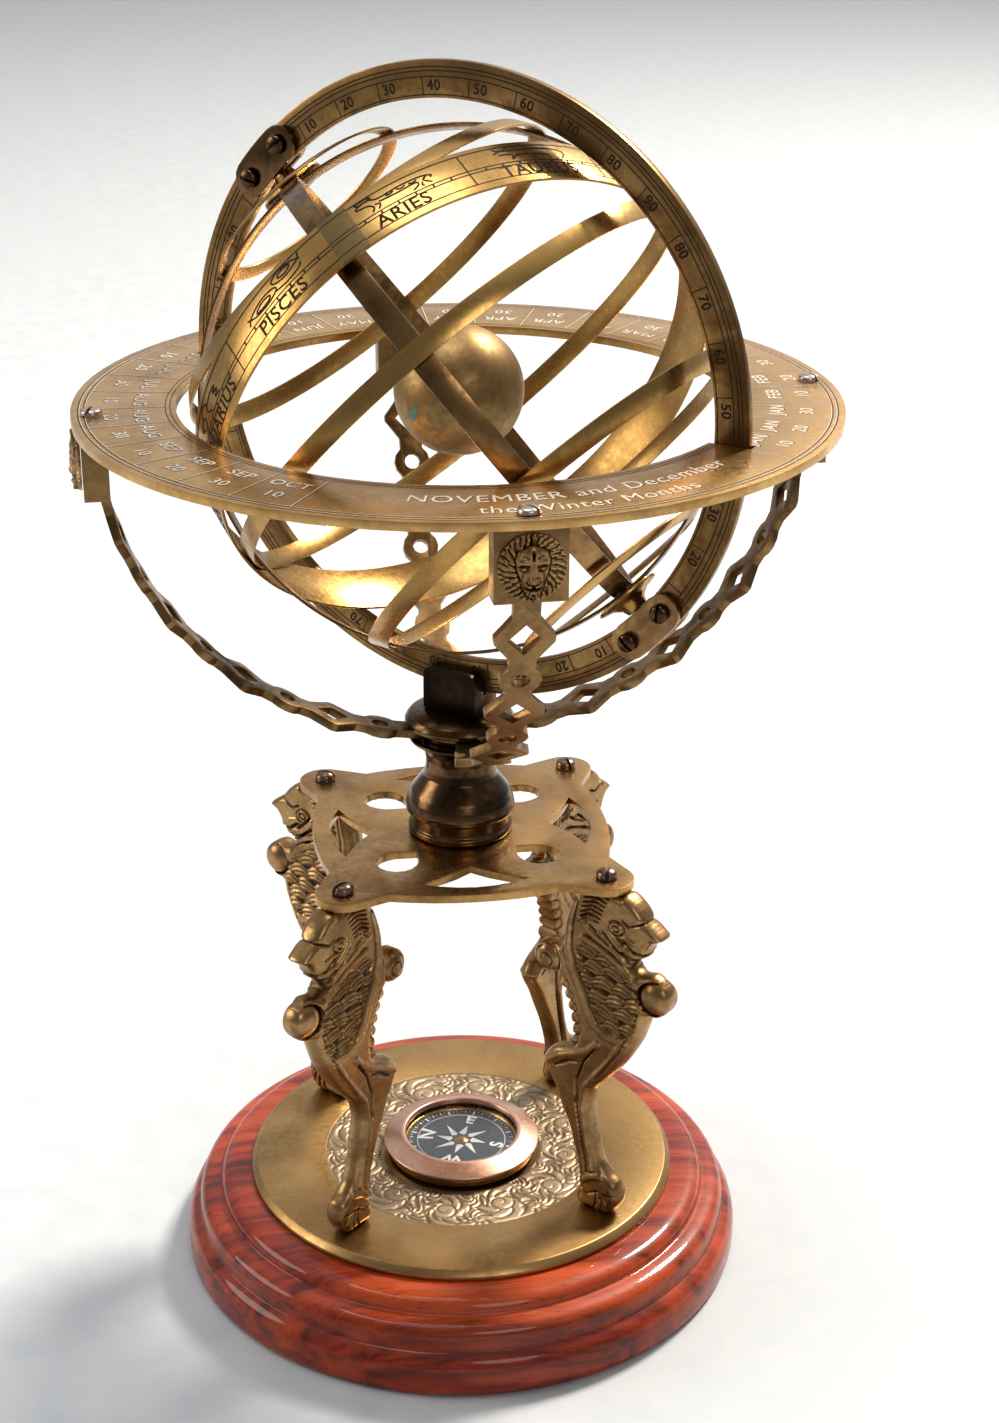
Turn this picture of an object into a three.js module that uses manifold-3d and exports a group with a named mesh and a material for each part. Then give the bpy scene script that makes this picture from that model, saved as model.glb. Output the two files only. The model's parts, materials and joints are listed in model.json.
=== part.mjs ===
// Table-top armillary sphere on a four-legged stand with a compass in its base.
// Millimetres, +Z up, origin on the table under the middle of the base.
// The legs stand at 45 degrees to X and Y; -Y is the front.

import * as THREE from 'three';
import { mergeVertices } from 'three/addons/utils/BufferGeometryUtils.js';
import Module from 'manifold-3d';

const wasm = await Module();
wasm.setup();

// ---- driving dimensions -------------------------------------------------

const gap = 0.3;              // air left between touching pieces
const deg = Math.PI / 180;

const discTop = 36;           // brass disc that carries the feet and the compass
const discRadius = 82.1;
const discBottom = 32.3;
const plateTop = 176;         // pierced plate on top of the legs
const plateThickness = 3;
const sphereZ = 343;          // centre of the rings and the globe
const horizonTop = 340.4;
const ringThickness = 3;      // horizon and meridian rings
const horizonOuter = 132;
const horizonInner = 96.7;
const meridianOuter = 110.7;
const meridianInner = 98.2;
const meridianAzimuth = -38.5;  // degrees from +X to the meridian's plane
const poleElevation = 42.8;     // degrees, at the back left
const armTwist = 3;             // the arms stand this far round from the X and Y axes
const screwCircle = 66.4;       // feet, leg tops and plate ears
const armScrewCircle = 125;     // screws that hold the horizon ring
const hubBottom = 214.3;
const hubTop = 217.5;
const axisRadius = 1.5;         // polar axis rod
const boreRadius = 1.8;         // what runs on the rod, and clearance holes
const boltRadius = 2.8;         // bolt through plate, neck, hub and cradle
const boltBore = 3.1;
const legCount = 4;

// ---- materials ----------------------------------------------------------

function finish(name, color, roughness, metalness) {
  return new THREE.MeshStandardMaterial({ name, color, roughness, metalness });
}

const antiqueBrass = finish('antique_brass', 0xa98245, 0.38, 1);
const castBrass = finish('cast_brass', 0x8f6c3a, 0.45, 1);
const darkBrass = finish('dark_brass', 0x5f4a2e, 0.42, 1);
const copper = finish('copper', 0xb98872, 0.35, 1);
const mahogany = finish('mahogany', 0x7a1f12, 0.2, 0);
const blackCard = finish('black_card', 0x16181c, 0.6, 0);
const steel = finish('steel', 0x8a8580, 0.35, 1);
const clearGlass = finish('clear_glass', 0xe8f0f0, 0.05, 0);
clearGlass.transparent = true;
clearGlass.opacity = 0.35;

// ---- helpers ------------------------------------------------------------

function solidOf(geometry) {
  const bare = geometry.clone();
  bare.deleteAttribute('normal');
  bare.deleteAttribute('uv');
  const welded = mergeVertices(bare, 1e-4);
  return new wasm.Manifold(new wasm.Mesh({
    numProp: 3,
    vertProperties: new Float32Array(welded.attributes.position.array),
    triVerts: new Uint32Array(welded.index.array),
  }));
}

function geometryOf(solid) {
  const mesh = solid.getMesh();
  const geometry = new THREE.BufferGeometry();
  geometry.setAttribute('position', new THREE.BufferAttribute(mesh.vertProperties, 3));
  geometry.setIndex(new THREE.BufferAttribute(mesh.triVerts, 1));
  return geometry;
}

function cut(geometry, tools) {
  let solid = solidOf(geometry);
  for (const tool of tools) solid = solid.subtract(solidOf(tool));
  return geometryOf(solid);
}

function join(first, second) {
  return geometryOf(solidOf(first).add(solidOf(second)));
}

// Turned piece about Z from a list of [radius, height] points. A profile that
// does not touch the axis is closed on itself.
function turned(points, segments = 32) {
  const outline = points.map(([radius, height]) => new THREE.Vector2(radius, height));
  const first = outline[0];
  const last = outline[outline.length - 1];
  if (first.x > 0 || last.x > 0) outline.push(first.clone());
  let area = 0;
  outline.forEach((point, i) => {
    const next = outline[(i + 1) % outline.length];
    area += point.x * next.y - next.x * point.y;
  });
  if (area < 0) outline.reverse();
  return new THREE.LatheGeometry(outline, segments).rotateX(Math.PI / 2);
}

function rod(radius, bottom, top, segments = 12) {
  return turned([[0, bottom], [radius, bottom], [radius, top], [0, top]], segments);
}

function box(low, high) {
  const size = high.map((value, i) => value - low[i]);
  const middle = high.map((value, i) => (value + low[i]) / 2);
  return new THREE.BoxGeometry(...size).translate(...middle);
}

function extruded(shape, thickness) {
  return new THREE.ExtrudeGeometry(shape, { depth: thickness, bevelEnabled: false });
}

function shapeOf(points) {
  return new THREE.Shape(points.map(([x, y]) => new THREE.Vector2(x, y)));
}

// Tool that cuts this outline right through a flat piece lying on z = 0.
function punch(points) {
  return extruded(shapeOf(points), 20).translate(0, 0, -5);
}

// A point at this radius on the diagonal or arm that starts at `azimuth` degrees.
function around(radius, azimuth) {
  return [radius * Math.cos(azimuth * deg), radius * Math.sin(azimuth * deg)];
}

const armillary = new THREE.Group();

function add(parent, name, geometry, material) {
  const mesh = new THREE.Mesh(geometry, material);
  mesh.name = name;
  parent.add(mesh);
  return mesh;
}

const corners = ['right_rear', 'left_rear', 'left_front', 'right_front'];
const sides = ['right', 'rear', 'left', 'front'];
const legAzimuth = (i) => 45 + i * 90;
const armAzimuth = (i) => armTwist + i * 90;

// ---- wooden base --------------------------------------------------------

const footScrewHead = 5;
const footScrewShank = 2;
const footScrewTop = 46;

function woodBase() {
  const profile = [
    [0, 0], [105.6, 0], [107.2, 1.2], [107.7, 3],
    [107.7, 10], [107, 12.8], [105.6, 15], [103.6, 16.4],
    [102.8, 16.8], [102.6, 21.6], [101.8, 23.8], [100, 25.4], [97.4, 26.2],
    [94.3, 26.5], [94.1, 28.4], [92.8, 30.4], [90.4, 31.6], [86.5, 32], [0, 32],
  ];
  const holes = corners.map((_, i) => {
    const tool = turned([[0, -1], [6, -1], [6, 7], [2.4, 7], [2.4, 40], [0, 40]], 16);
    return tool.translate(...around(screwCircle, legAzimuth(i)), 0);
  });
  return cut(turned(profile, 56), holes);
}

function baseDisc() {
  const bevel = 2.2;
  const profile = [
    [0, discBottom], [discRadius, discBottom], [discRadius, discTop - bevel],
    [discRadius - bevel, discTop], [0, discTop],
  ];
  const holes = corners.map((_, i) => (
    rod(2.4, 30, 40).translate(...around(screwCircle, legAzimuth(i)), 0)
  ));
  return cut(turned(profile, 56), holes);
}

function footScrew(azimuth) {
  const profile = [
    [0, 2.5], [footScrewHead, 2.5], [footScrewHead, 6.7], [footScrewShank, 6.7],
    [footScrewShank, footScrewTop], [0, footScrewTop],
  ];
  return turned(profile, 16).translate(...around(screwCircle, azimuth), 0);
}

add(armillary, 'wood_base', woodBase(), mahogany);
add(armillary, 'base_disc', baseDisc(), antiqueBrass);
corners.forEach((corner, i) => {
  add(armillary, `foot_screw_${corner}`, footScrew(legAzimuth(i)), steel);
});

// ---- compass ------------------------------------------------------------

const caseBottom = discTop + gap;
const caseFloor = caseBottom + 1.1;
const caseTop = 39.8;
const glassBottom = caseTop + gap;
const glassTop = glassBottom + 1;
const cardBottom = 38.4;
const cardTop = 38.9;

const compassCase = turned([
  [0, caseBottom], [28.6, caseBottom], [28.6, caseTop], [24.5, caseTop],
  [24.5, caseFloor], [0, caseFloor],
]);
const compassBezel = turned([
  [26.4, glassBottom], [30.3, glassBottom], [30.3, 40.9], [23.2, 43.8], [22.2, 43.8],
  [21.8, 43.4], [21.8, glassTop + gap], [26.4, glassTop + gap],
], 36);
const compassCard = turned([
  [2.4, cardBottom], [22.6, cardBottom], [22.6, cardTop], [2.4, cardTop],
]);
const compassCap = turned([
  [0.9, 38], [2, 38], [2, 39.2], [3.4, 39.2], [3.1, 39.5], [0, 39.8], [0, 39],
  [0.9, 38.7],
], 16);
const compassPivot = turned([
  [0, caseFloor + gap], [1.6, caseFloor + gap], [1.6, 37.85], [0.6, 37.85], [0.5, 38.4], [0, 38.65],
], 12);

add(armillary, 'compass_case', compassCase, antiqueBrass);
add(armillary, 'compass_bezel', compassBezel, copper);
add(armillary, 'compass_glass', rod(26, glassBottom, glassTop, 32), clearGlass);
add(armillary, 'compass_card', compassCard, blackCard);
add(armillary, 'compass_cap', compassCap, antiqueBrass);
add(armillary, 'compass_pivot', compassPivot, steel);

// ---- legs ---------------------------------------------------------------

const legThickness = 11;
const legFoot = discTop + gap;
const legTop = plateTop - plateThickness - gap;

// Beast-headed leg in its own upright plane: [distance from the axis, height].
const legOutline = [
  [57, legTop], [76, legTop], [83, 168.5], [85.5, 165.5], [92.5, 160], [89, 157.5],
  [87, 154.5], [86.5, 151.5], [82.5, 148.5], [80.5, 145], [84, 143.2], [89, 144],
  [93.5, 141.5], [96, 137], [95, 131.5], [91.5, 128], [87.5, 127.2], [86.5, 123],
  [83, 113.5], [76.5, 102.5], [69.5, 94], [64.5, 88], [63, 80], [65, 67.5], [68, 57.5],
  [71.5, 53], [75.5, 50], [77, 44.5], [75.5, 40], [72, legFoot],
  [59.5, legFoot], [57.5, 40], [59, 46.5], [57, 57], [53.5, 67.5], [49.5, 76.5],
  [46, 84.5], [42.5, 90.5], [41.5, 94.5], [45, 99.5], [51, 102.5], [55, 105.5],
  [56, 110], [55, 116], [52.5, 122.5], [49.8, 128], [47.5, 132.2], [43, 130.3],
  [38, 131.5], [36.5, 136], [38.5, 141.5], [43, 144.2], [48, 144.5], [50, 148],
  [50.5, 154], [52, 160], [54.5, 166],
];

function leg(azimuth) {
  const body = extruded(shapeOf(legOutline), legThickness)
    .translate(0, 0, -legThickness / 2)
    .rotateX(Math.PI / 2);
  const plateHole = rod(2.1, 157, legTop + 1).translate(screwCircle, 0, 0);
  const footHole = rod(2.3, legFoot - 1, footScrewTop + 0.5).translate(screwCircle, 0, 0);
  return cut(body, [plateHole, footHole]).rotateZ(azimuth * deg);
}

corners.forEach((corner, i) => {
  add(armillary, `leg_${corner}`, leg(legAzimuth(i)), castBrass);
});

// ---- top plate ----------------------------------------------------------

const earCentre = screwCircle * Math.SQRT1_2;
const earRadius = 9.8;
const notch = [31, 50.5];        // where an ear meets the bulging side
const sideBulge = 54.6;          // the side's reach at its middle

function turn90([x, y], times) {
  for (let i = 0; i < times; i += 1) [x, y] = [-y, x];
  return [x, y];
}

function arcPoints([cx, cy], radius, from, to, count) {
  return Array.from({ length: count + 1 }, (_, i) => {
    const angle = (from + (to - from) * i / count) * deg;
    return [cx + radius * Math.cos(angle), cy + radius * Math.sin(angle)];
  });
}

// Shallow arc from a to b that passes `rise` beyond the straight line's middle.
function bulge([ax, ay], [bx, by], rise, count) {
  const length = Math.hypot(bx - ax, by - ay);
  const normal = [(by - ay) / length, (ax - bx) / length];
  return Array.from({ length: count + 1 }, (_, i) => {
    const along = i / count;
    const out = 4 * rise * along * (1 - along);
    return [ax + (bx - ax) * along + normal[0] * out, ay + (by - ay) * along + normal[1] * out];
  });
}

function quarterOutline() {
  const side = bulge([notch[1], -notch[0]], [notch[1], notch[0]], sideBulge - notch[1], 8);
  const ear = arcPoints([earCentre, earCentre], earRadius, -22, 112, 9);
  return [...side, ...ear];
}

function leafHole() {
  const low = [43.8, -19.8];
  const high = [43.8, 19.8];
  const tip = [32.2, 0];
  return [
    ...bulge(low, high, 4.8, 6),
    ...bulge(high, tip, -1.2, 3).slice(1),
    ...bulge(tip, low, -1.2, 3).slice(1, -1),
  ];
}

function cornerHole() {
  return [[18, 18], [26, 18], ...arcPoints([26, 26], 7.5, -65, 155, 9), [18, 26]];
}

function topPlate() {
  const outline = [];
  const tools = [rod(boltBore, -5, 10, 24)];
  for (let i = 0; i < legCount; i += 1) {
    outline.push(...quarterOutline().map((point) => turn90(point, i)));
    tools.push(punch(leafHole().map((point) => turn90(point, i))));
    tools.push(punch(cornerHole().map((point) => turn90(point, i))));
    tools.push(rod(2.1, -5, 10).translate(...around(screwCircle, legAzimuth(i)), 0));
  }
  const plate = extruded(shapeOf(outline), plateThickness);
  return cut(plate, tools).translate(0, 0, plateTop - plateThickness);
}

function plateScrew(azimuth) {
  const head = plateTop + gap;
  const profile = [
    [0, 158], [1.8, 158], [1.8, head], [3.8, head], [3.8, head + 2.4], [3, head + 3.2],
    [0, head + 3.4],
  ];
  return turned(profile, 14).translate(...around(screwCircle, azimuth), 0);
}

add(armillary, 'top_plate', topPlate(), antiqueBrass);
corners.forEach((corner, i) => {
  add(armillary, `plate_screw_${corner}`, plateScrew(legAzimuth(i)), darkBrass);
});

// ---- neck, hub and cradle -----------------------------------------------

const neck = turned([
  [boltBore, plateTop + gap], [18.2, plateTop + gap], [18.8, 178], [18.2, 180.2],
  [16.9, 181.4], [16.7, 183.6], [19.2, 184.6], [20.2, 186.4], [19.9, 190], [18.6, 193.6],
  [15.6, 197.4], [13.4, 200.4], [12.6, 203.6], [13, 207], [14.8, 210.2], [17.6, 212.4],
  [18.7, 213.2], [18.5, hubBottom - gap], [boltBore, hubBottom - gap],
]);
const boltHead = plateTop - plateThickness - gap;
const centreBolt = turned([
  [0, boltHead - 4.2], [7, boltHead - 4.2], [7, boltHead], [boltRadius, boltHead],
  [boltRadius, 229], [0, 229],
], 16);
const hubRing = turned([
  [boltBore, hubBottom], [14, hubBottom], [14, hubTop], [boltBore, hubTop],
]);
const hubCap = turned([
  [boltBore, hubTop + gap], [12, hubTop + gap], [13, 219.1], [20, 219.1], [20.2, 220.6],
  [18.6, 222.8], [14, 224.2], [12, 224.4], [boltBore, 224.4],
]);

const cradleFloor = sphereZ - meridianOuter - 0.4;
function cradle() {
  const body = box([-11, -7.5, 224.7], [11, 7.5, 240.9]);
  const slot = box([-20, -ringThickness / 2 - gap, cradleFloor],
    [20, ringThickness / 2 + gap, 250]);
  const bore = rod(boltBore, 220, 229.3, 16);
  return cut(body, [slot, bore]).rotateZ(meridianAzimuth * deg);
}

add(armillary, 'neck', neck, antiqueBrass);
add(armillary, 'centre_bolt', centreBolt, steel);
add(armillary, 'hub_ring', hubRing, castBrass);
add(armillary, 'hub_cap', hubCap, darkBrass);
add(armillary, 'cradle', cradle(), darkBrass);

// ---- pierced arms and lion masks ----------------------------------------

const arcReach = 124.7;         // the arms follow a quarter of an ellipse
const arcDrop = 119.4;
const arcCentre = 334.6;
const strapThickness = 3;
const mmPerDegree = 2.13;       // along the arc
const patternPitch = 35.6;      // one lozenge and one disc
const firstLozenge = 16.6;      // from the arc's start to the first lozenge's middle
const arcStart = 10;            // degrees below level
const arcEnd = 83.3;
const strapHalf = 4.3;          // half the strap's width at its narrow places
const blockInner = 120.5;
const blockOuter = 129.2;
const blockHalf = 11.5;
const blockBottom = 313.4;
const blockTop = horizonTop - ringThickness - gap;

function flatStrap() {
  const length = (arcEnd - arcStart) * mmPerDegree;
  const upper = [[-1, strapHalf]];
  const tools = [];
  for (let middle = firstLozenge; middle < length; middle += patternPitch) {
    upper.push([middle - 8.4, strapHalf], [middle - 4.6, 7], [middle - 1, 9.7], [middle + 1, 9.7]);
    upper.push([middle + 4.6, 7], [middle + 8.4, strapHalf]);
    tools.push(punch([[middle - 6, 0], [middle, -5.6], [middle + 6, 0], [middle, 5.6]]));
    const disc = middle + patternPitch / 2;
    upper.push(...arcPoints([disc, 0], 6.9, 141.5, 38.5, 4));
    tools.push(rod(3.1, -5, 10, 10).translate(disc, 0, 0));
  }
  upper.push([length, strapHalf]);
  const lower = upper.map(([s, w]) => [s, -w]).reverse();
  return cut(extruded(shapeOf([...upper, ...lower]), strapThickness), tools);
}

function bend(geometry) {
  const position = geometry.attributes.position;
  for (let i = 0; i < position.count; i += 1) {
    const angle = (arcStart + position.getX(i) / mmPerDegree) * deg;
    const out = new THREE.Vector2(arcDrop * Math.cos(angle), -arcReach * Math.sin(angle)).normalize();
    const lift = position.getZ(i) - strapThickness / 2;
    position.setXYZ(
      i,
      arcReach * Math.cos(angle) + out.x * lift,
      position.getY(i),
      arcCentre - arcDrop * Math.sin(angle) + out.y * lift,
    );
  }
  return geometry;
}

function arm(azimuth) {
  const strap = bend(flatStrap());
  const block = box([blockInner, -blockHalf, blockBottom], [blockOuter, blockHalf, blockTop]);
  const screwHole = rod(boreRadius, 323, blockTop + 1).translate(armScrewCircle, 0, 0);
  return cut(join(strap, block), [screwHole]).rotateZ(azimuth * deg);
}

function lionMask(azimuth) {
  const profile = [[0, 0], [10.6, 0], [10.2, 1.4], [7.6, 3], [4.6, 3.8], [0, 4.2]];
  return turned(profile, 20)
    .rotateY(Math.PI / 2)
    .translate(blockOuter + gap, 0, (blockBottom + blockTop) / 2)
    .rotateZ(azimuth * deg);
}

function ringScrew(azimuth) {
  const head = horizonTop + gap;
  const profile = [
    [0, 324], [axisRadius, 324], [axisRadius, head], [3.7, head], [3.4, head + 1],
    [2.2, head + 1.9], [0, head + 2.3],
  ];
  return turned(profile, 14).translate(...around(armScrewCircle, azimuth), 0);
}

sides.forEach((side, i) => {
  add(armillary, `arm_${side}`, arm(armAzimuth(i)), castBrass);
  add(armillary, `lion_mask_${side}`, lionMask(armAzimuth(i)), castBrass);
  add(armillary, `ring_screw_${side}`, ringScrew(armAzimuth(i)), antiqueBrass);
});

// ---- horizon ring -------------------------------------------------------

function horizonRing() {
  const band = turned([
    [horizonInner, horizonTop - ringThickness], [horizonOuter, horizonTop - ringThickness],
    [horizonOuter, horizonTop], [horizonInner, horizonTop],
  ], 80);
  const notchReach = meridianOuter + 0.9;
  const notchHalf = ringThickness / 2 + 0.5;
  const notches = box([-notchReach, -notchHalf, 330], [notchReach, notchHalf, 350])
    .rotateZ(meridianAzimuth * deg);
  const holes = sides.map((_, i) => (
    rod(boreRadius, 330, 350).translate(...around(armScrewCircle, armAzimuth(i)), 0)
  ));
  return cut(band, [notches, ...holes]);
}

add(armillary, 'horizon_ring', horizonRing(), antiqueBrass);

// ---- meridian ring, polar axis and clamps --------------------------------
// In this group Z runs along the polar axis to the north pole, the ring lies in
// the YZ plane, and X is the ring's normal, towards the front.

const meridian = new THREE.Group();
const planeAngle = meridianAzimuth * deg;
const levelAlong = new THREE.Vector3(Math.cos(planeAngle), Math.sin(planeAngle), 0);
const faceNormal = new THREE.Vector3(Math.sin(planeAngle), -Math.cos(planeAngle), 0);
const poleAxis = levelAlong.clone().multiplyScalar(-Math.cos(poleElevation * deg))
  .add(new THREE.Vector3(0, 0, Math.sin(poleElevation * deg)));
const upperAxis = new THREE.Vector3().crossVectors(poleAxis, faceNormal);
const meridianFrame = new THREE.Matrix4().makeBasis(faceNormal, upperAxis, poleAxis);
meridian.quaternion.setFromRotationMatrix(meridianFrame);
meridian.position.set(0, 0, sphereZ);
armillary.add(meridian);

const clampRadius = (meridianOuter + meridianInner) / 2;
const clampAngle = 4.8;         // degrees from the pole to a clamp screw
const clampHalf = 6.6;
const clampThickness = 2.4;
const axisEnd = 106.6;
const poles = [['north', 0], ['south', 180]];

// A flat piece drawn with the pole along its Y axis, stood in the ring's plane
// with its thickness from x = from.
function inRingPlane(geometry, from) {
  const swap = new THREE.Matrix4().makeBasis(
    new THREE.Vector3(0, 1, 0), new THREE.Vector3(0, 0, 1), new THREE.Vector3(1, 0, 0),
  );
  return geometry.translate(0, 0, from).applyMatrix4(swap);
}

function clampScrewPlace(side) {
  return around(clampRadius, 90 + side * clampAngle);
}

function meridianRing() {
  const band = turned([
    [meridianInner, 0], [meridianOuter, 0], [meridianOuter, ringThickness],
    [meridianInner, ringThickness],
  ], 80);
  const tools = [];
  for (const [, turn] of poles) {
    const slot = box([-boreRadius, meridianInner - 3, -1], [boreRadius, axisEnd + 0.5, 5]);
    tools.push(slot.rotateZ(turn * deg));
    for (const side of [-1, 1]) {
      const hole = rod(1.7, -1, 5).translate(...clampScrewPlace(side), 0);
      tools.push(hole.rotateZ(turn * deg));
    }
  }
  return inRingPlane(cut(band, tools), -ringThickness / 2);
}

function clampPlate(turn, from) {
  const ends = [
    ...arcPoints([0, 0], clampRadius + clampHalf, 90 - clampAngle, 90 + clampAngle, 4),
    ...arcPoints(clampScrewPlace(1), clampHalf, 120, 240, 5),
    ...arcPoints([0, 0], clampRadius - clampHalf, 90 + clampAngle, 90 - clampAngle, 4),
    ...arcPoints(clampScrewPlace(-1), clampHalf, -60, 60, 5),
  ];
  const holes = [-1, 1].map((side) => rod(1.7, -1, 5).translate(...clampScrewPlace(side), 0));
  return inRingPlane(cut(extruded(shapeOf(ends), clampThickness), holes).rotateZ(turn * deg), from);
}

function clampScrew(turn, side) {
  const face = ringThickness / 2 + gap + clampThickness + gap;
  const profile = [
    [0, -face], [1.4, -face], [1.4, face], [3.4, face], [3.4, face + 1.4], [2.8, face + 1.9],
    [0, face + 1.9],
  ];
  return inRingPlane(turned(profile, 14).translate(...clampScrewPlace(side), 0).rotateZ(turn * deg), 0);
}

add(meridian, 'meridian_ring', meridianRing(), antiqueBrass);
add(meridian, 'axis_rod', rod(axisRadius, -axisEnd, axisEnd), darkBrass);
for (const [pole, turn] of poles) {
  const face = ringThickness / 2 + gap;
  add(meridian, `${pole}_clamp_front`, clampPlate(turn, face), castBrass);
  add(meridian, `${pole}_clamp_back`, clampPlate(turn, -face - clampThickness), castBrass);
  add(meridian, `${pole}_clamp_screw_lower`, clampScrew(turn, 1), darkBrass);
  add(meridian, `${pole}_clamp_screw_upper`, clampScrew(turn, -1), darkBrass);
}

// ---- cage of circles and the globe ---------------------------------------
// The bands are nested: colures inside, parallels next, the zodiac outside.

const cageSegments = 60;
const colureRadii = [[88.6, 89.6], [89.9, 90.9]];
const colureHalf = 4;
const colureTurn = 32;          // degrees from the ring's normal to the first colure
const parallelRadii = [91.35, 92.15];
const tropicDeclination = 34;
const polarDeclination = 66.5;
const zodiacRadii = [92.55, 93.5];
const zodiacHalf = 10;
const zodiacTilt = 29;
const zodiacNode = -62;         // degrees from the ring's normal to the tilt's hinge line
const globeRadius = 22.5;

function colure([inner, outer], turn) {
  const band = turned([
    [inner, -colureHalf], [outer, -colureHalf], [outer, colureHalf], [inner, colureHalf],
  ], cageSegments).rotateX(Math.PI / 2);
  return cut(band, [rod(boreRadius, -100, 100)]).rotateZ(turn * deg);
}

function parallel(declination, half) {
  const corner = (radius, angle) => [radius * Math.cos(angle * deg), radius * Math.sin(angle * deg)];
  const [inner, outer] = parallelRadii;
  return turned([
    corner(inner, declination - half), corner(outer, declination - half),
    corner(outer, declination + half), corner(inner, declination + half),
  ], cageSegments);
}

function zodiacBand() {
  const [inner, outer] = zodiacRadii;
  return turned([
    [inner, -zodiacHalf], [outer, -zodiacHalf], [outer, zodiacHalf], [inner, zodiacHalf],
  ], cageSegments).rotateX(zodiacTilt * deg).rotateZ(zodiacNode * deg);
}

function poleBoss(turn) {
  return turned([
    [boreRadius, 91.25], [12, 91.25], [12, 92.2], [7.4, 93.2], [4.8, 95], [3.8, 97.4],
    [boreRadius, 97.4],
  ], 20).rotateX(turn * deg);
}

add(meridian, 'colure_first', colure(colureRadii[0], colureTurn), antiqueBrass);
add(meridian, 'colure_second', colure(colureRadii[1], colureTurn + 90), antiqueBrass);
add(meridian, 'equator_band', parallel(0, 2.2), antiqueBrass);
for (const [pole, turn] of poles) {
  const sign = turn ? -1 : 1;
  add(meridian, `${pole}_tropic_band`, parallel(sign * tropicDeclination, 2.2), antiqueBrass);
  add(meridian, `${pole}_polar_band`, parallel(sign * polarDeclination, 1.6), antiqueBrass);
  add(meridian, `${pole}_pole_boss`, poleBoss(turn), darkBrass);
}
add(meridian, 'zodiac_band', zodiacBand(), antiqueBrass);

const globeBall = new THREE.SphereGeometry(globeRadius, 26, 16).rotateX(Math.PI / 2);
add(meridian, 'globe', cut(globeBall, [rod(boreRadius, -40, 40)]), antiqueBrass);

export default armillary;
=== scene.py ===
"""An armillary sphere in antique brass on a mahogany base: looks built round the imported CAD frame.

Lengths are in millimetres while a shape is worked out, and in metres once it is a mesh.
"""

import json
from functools import cache
from math import cos, hypot, pi, radians, sin

import bmesh
import bpy
import numpy as np
from mathutils import Matrix, Vector

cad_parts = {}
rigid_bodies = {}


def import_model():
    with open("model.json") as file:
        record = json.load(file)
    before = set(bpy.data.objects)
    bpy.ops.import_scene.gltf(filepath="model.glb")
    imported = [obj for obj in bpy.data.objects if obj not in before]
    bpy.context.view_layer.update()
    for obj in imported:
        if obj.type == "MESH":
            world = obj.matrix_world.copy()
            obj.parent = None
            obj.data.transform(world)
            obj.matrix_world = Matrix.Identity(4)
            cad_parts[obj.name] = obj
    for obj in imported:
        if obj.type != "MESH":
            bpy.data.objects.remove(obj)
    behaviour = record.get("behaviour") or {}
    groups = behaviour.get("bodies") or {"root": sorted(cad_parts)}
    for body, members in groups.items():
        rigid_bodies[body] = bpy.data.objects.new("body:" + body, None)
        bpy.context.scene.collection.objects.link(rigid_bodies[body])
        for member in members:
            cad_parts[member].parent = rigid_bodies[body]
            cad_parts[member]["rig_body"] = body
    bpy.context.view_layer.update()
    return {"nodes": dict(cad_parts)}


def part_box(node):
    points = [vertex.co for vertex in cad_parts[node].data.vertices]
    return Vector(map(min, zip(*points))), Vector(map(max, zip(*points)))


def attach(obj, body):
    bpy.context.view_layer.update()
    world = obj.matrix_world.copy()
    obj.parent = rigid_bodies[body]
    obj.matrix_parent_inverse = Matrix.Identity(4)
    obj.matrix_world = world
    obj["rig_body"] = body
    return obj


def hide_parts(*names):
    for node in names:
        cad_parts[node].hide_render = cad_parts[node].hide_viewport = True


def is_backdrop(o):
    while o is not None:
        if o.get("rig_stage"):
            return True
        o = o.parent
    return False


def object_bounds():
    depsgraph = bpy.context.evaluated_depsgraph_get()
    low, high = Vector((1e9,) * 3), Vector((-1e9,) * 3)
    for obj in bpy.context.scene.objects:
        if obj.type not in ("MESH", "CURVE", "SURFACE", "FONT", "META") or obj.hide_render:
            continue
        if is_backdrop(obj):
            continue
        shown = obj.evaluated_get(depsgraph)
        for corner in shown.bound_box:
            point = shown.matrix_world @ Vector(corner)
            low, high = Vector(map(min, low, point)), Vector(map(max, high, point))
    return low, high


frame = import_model()
MM = 0.001
TAU = 2 * pi


def heights(node):
    """The CAD node's lowest and highest points, in mm."""
    return [v.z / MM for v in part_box(node)]


# ---------------- the driving sizes, in mm
BASE_TOP = heights("wood_base")[1]
DISC_LOW, DISC_TOP = heights("base_disc")
DISC_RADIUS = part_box("base_disc")[1].x / MM
RING_TOP = heights("horizon_ring")[1]
BALL_RADIUS = 22.5
BELT_RADIUS, BELT_HALF = 93.5, 10.0
CENTRE = Vector((0, 0, 343.0))
POLE = Vector((-0.574223, 0.456758, 0.679441))  # towards the raised pole
MERIDIAN_NORMAL = Vector((-0.622515, -0.782608, 0.0))
UPWARD = POLE.cross(MERIDIAN_NORMAL)
LEG_AZIMUTHS = {"right_rear": 45, "left_rear": 135, "left_front": 225, "right_front": 315}
ARM_AZIMUTHS = {"right": 3, "rear": 93, "left": 183, "front": 273}


def spin(degrees, axis="Z"):
    return Matrix.Rotation(radians(degrees), 4, axis)


def polar(radius, angle, *height):
    return (radius * cos(angle), radius * sin(angle), *height)


def circle(radius, count):
    return [polar(radius, TAU * k / count) for k in range(count)]


def linked(name, data):
    """A new object with that data, in the scene."""
    obj = bpy.data.objects.new(name, data)
    bpy.context.scene.collection.objects.link(obj)
    return obj


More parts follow.
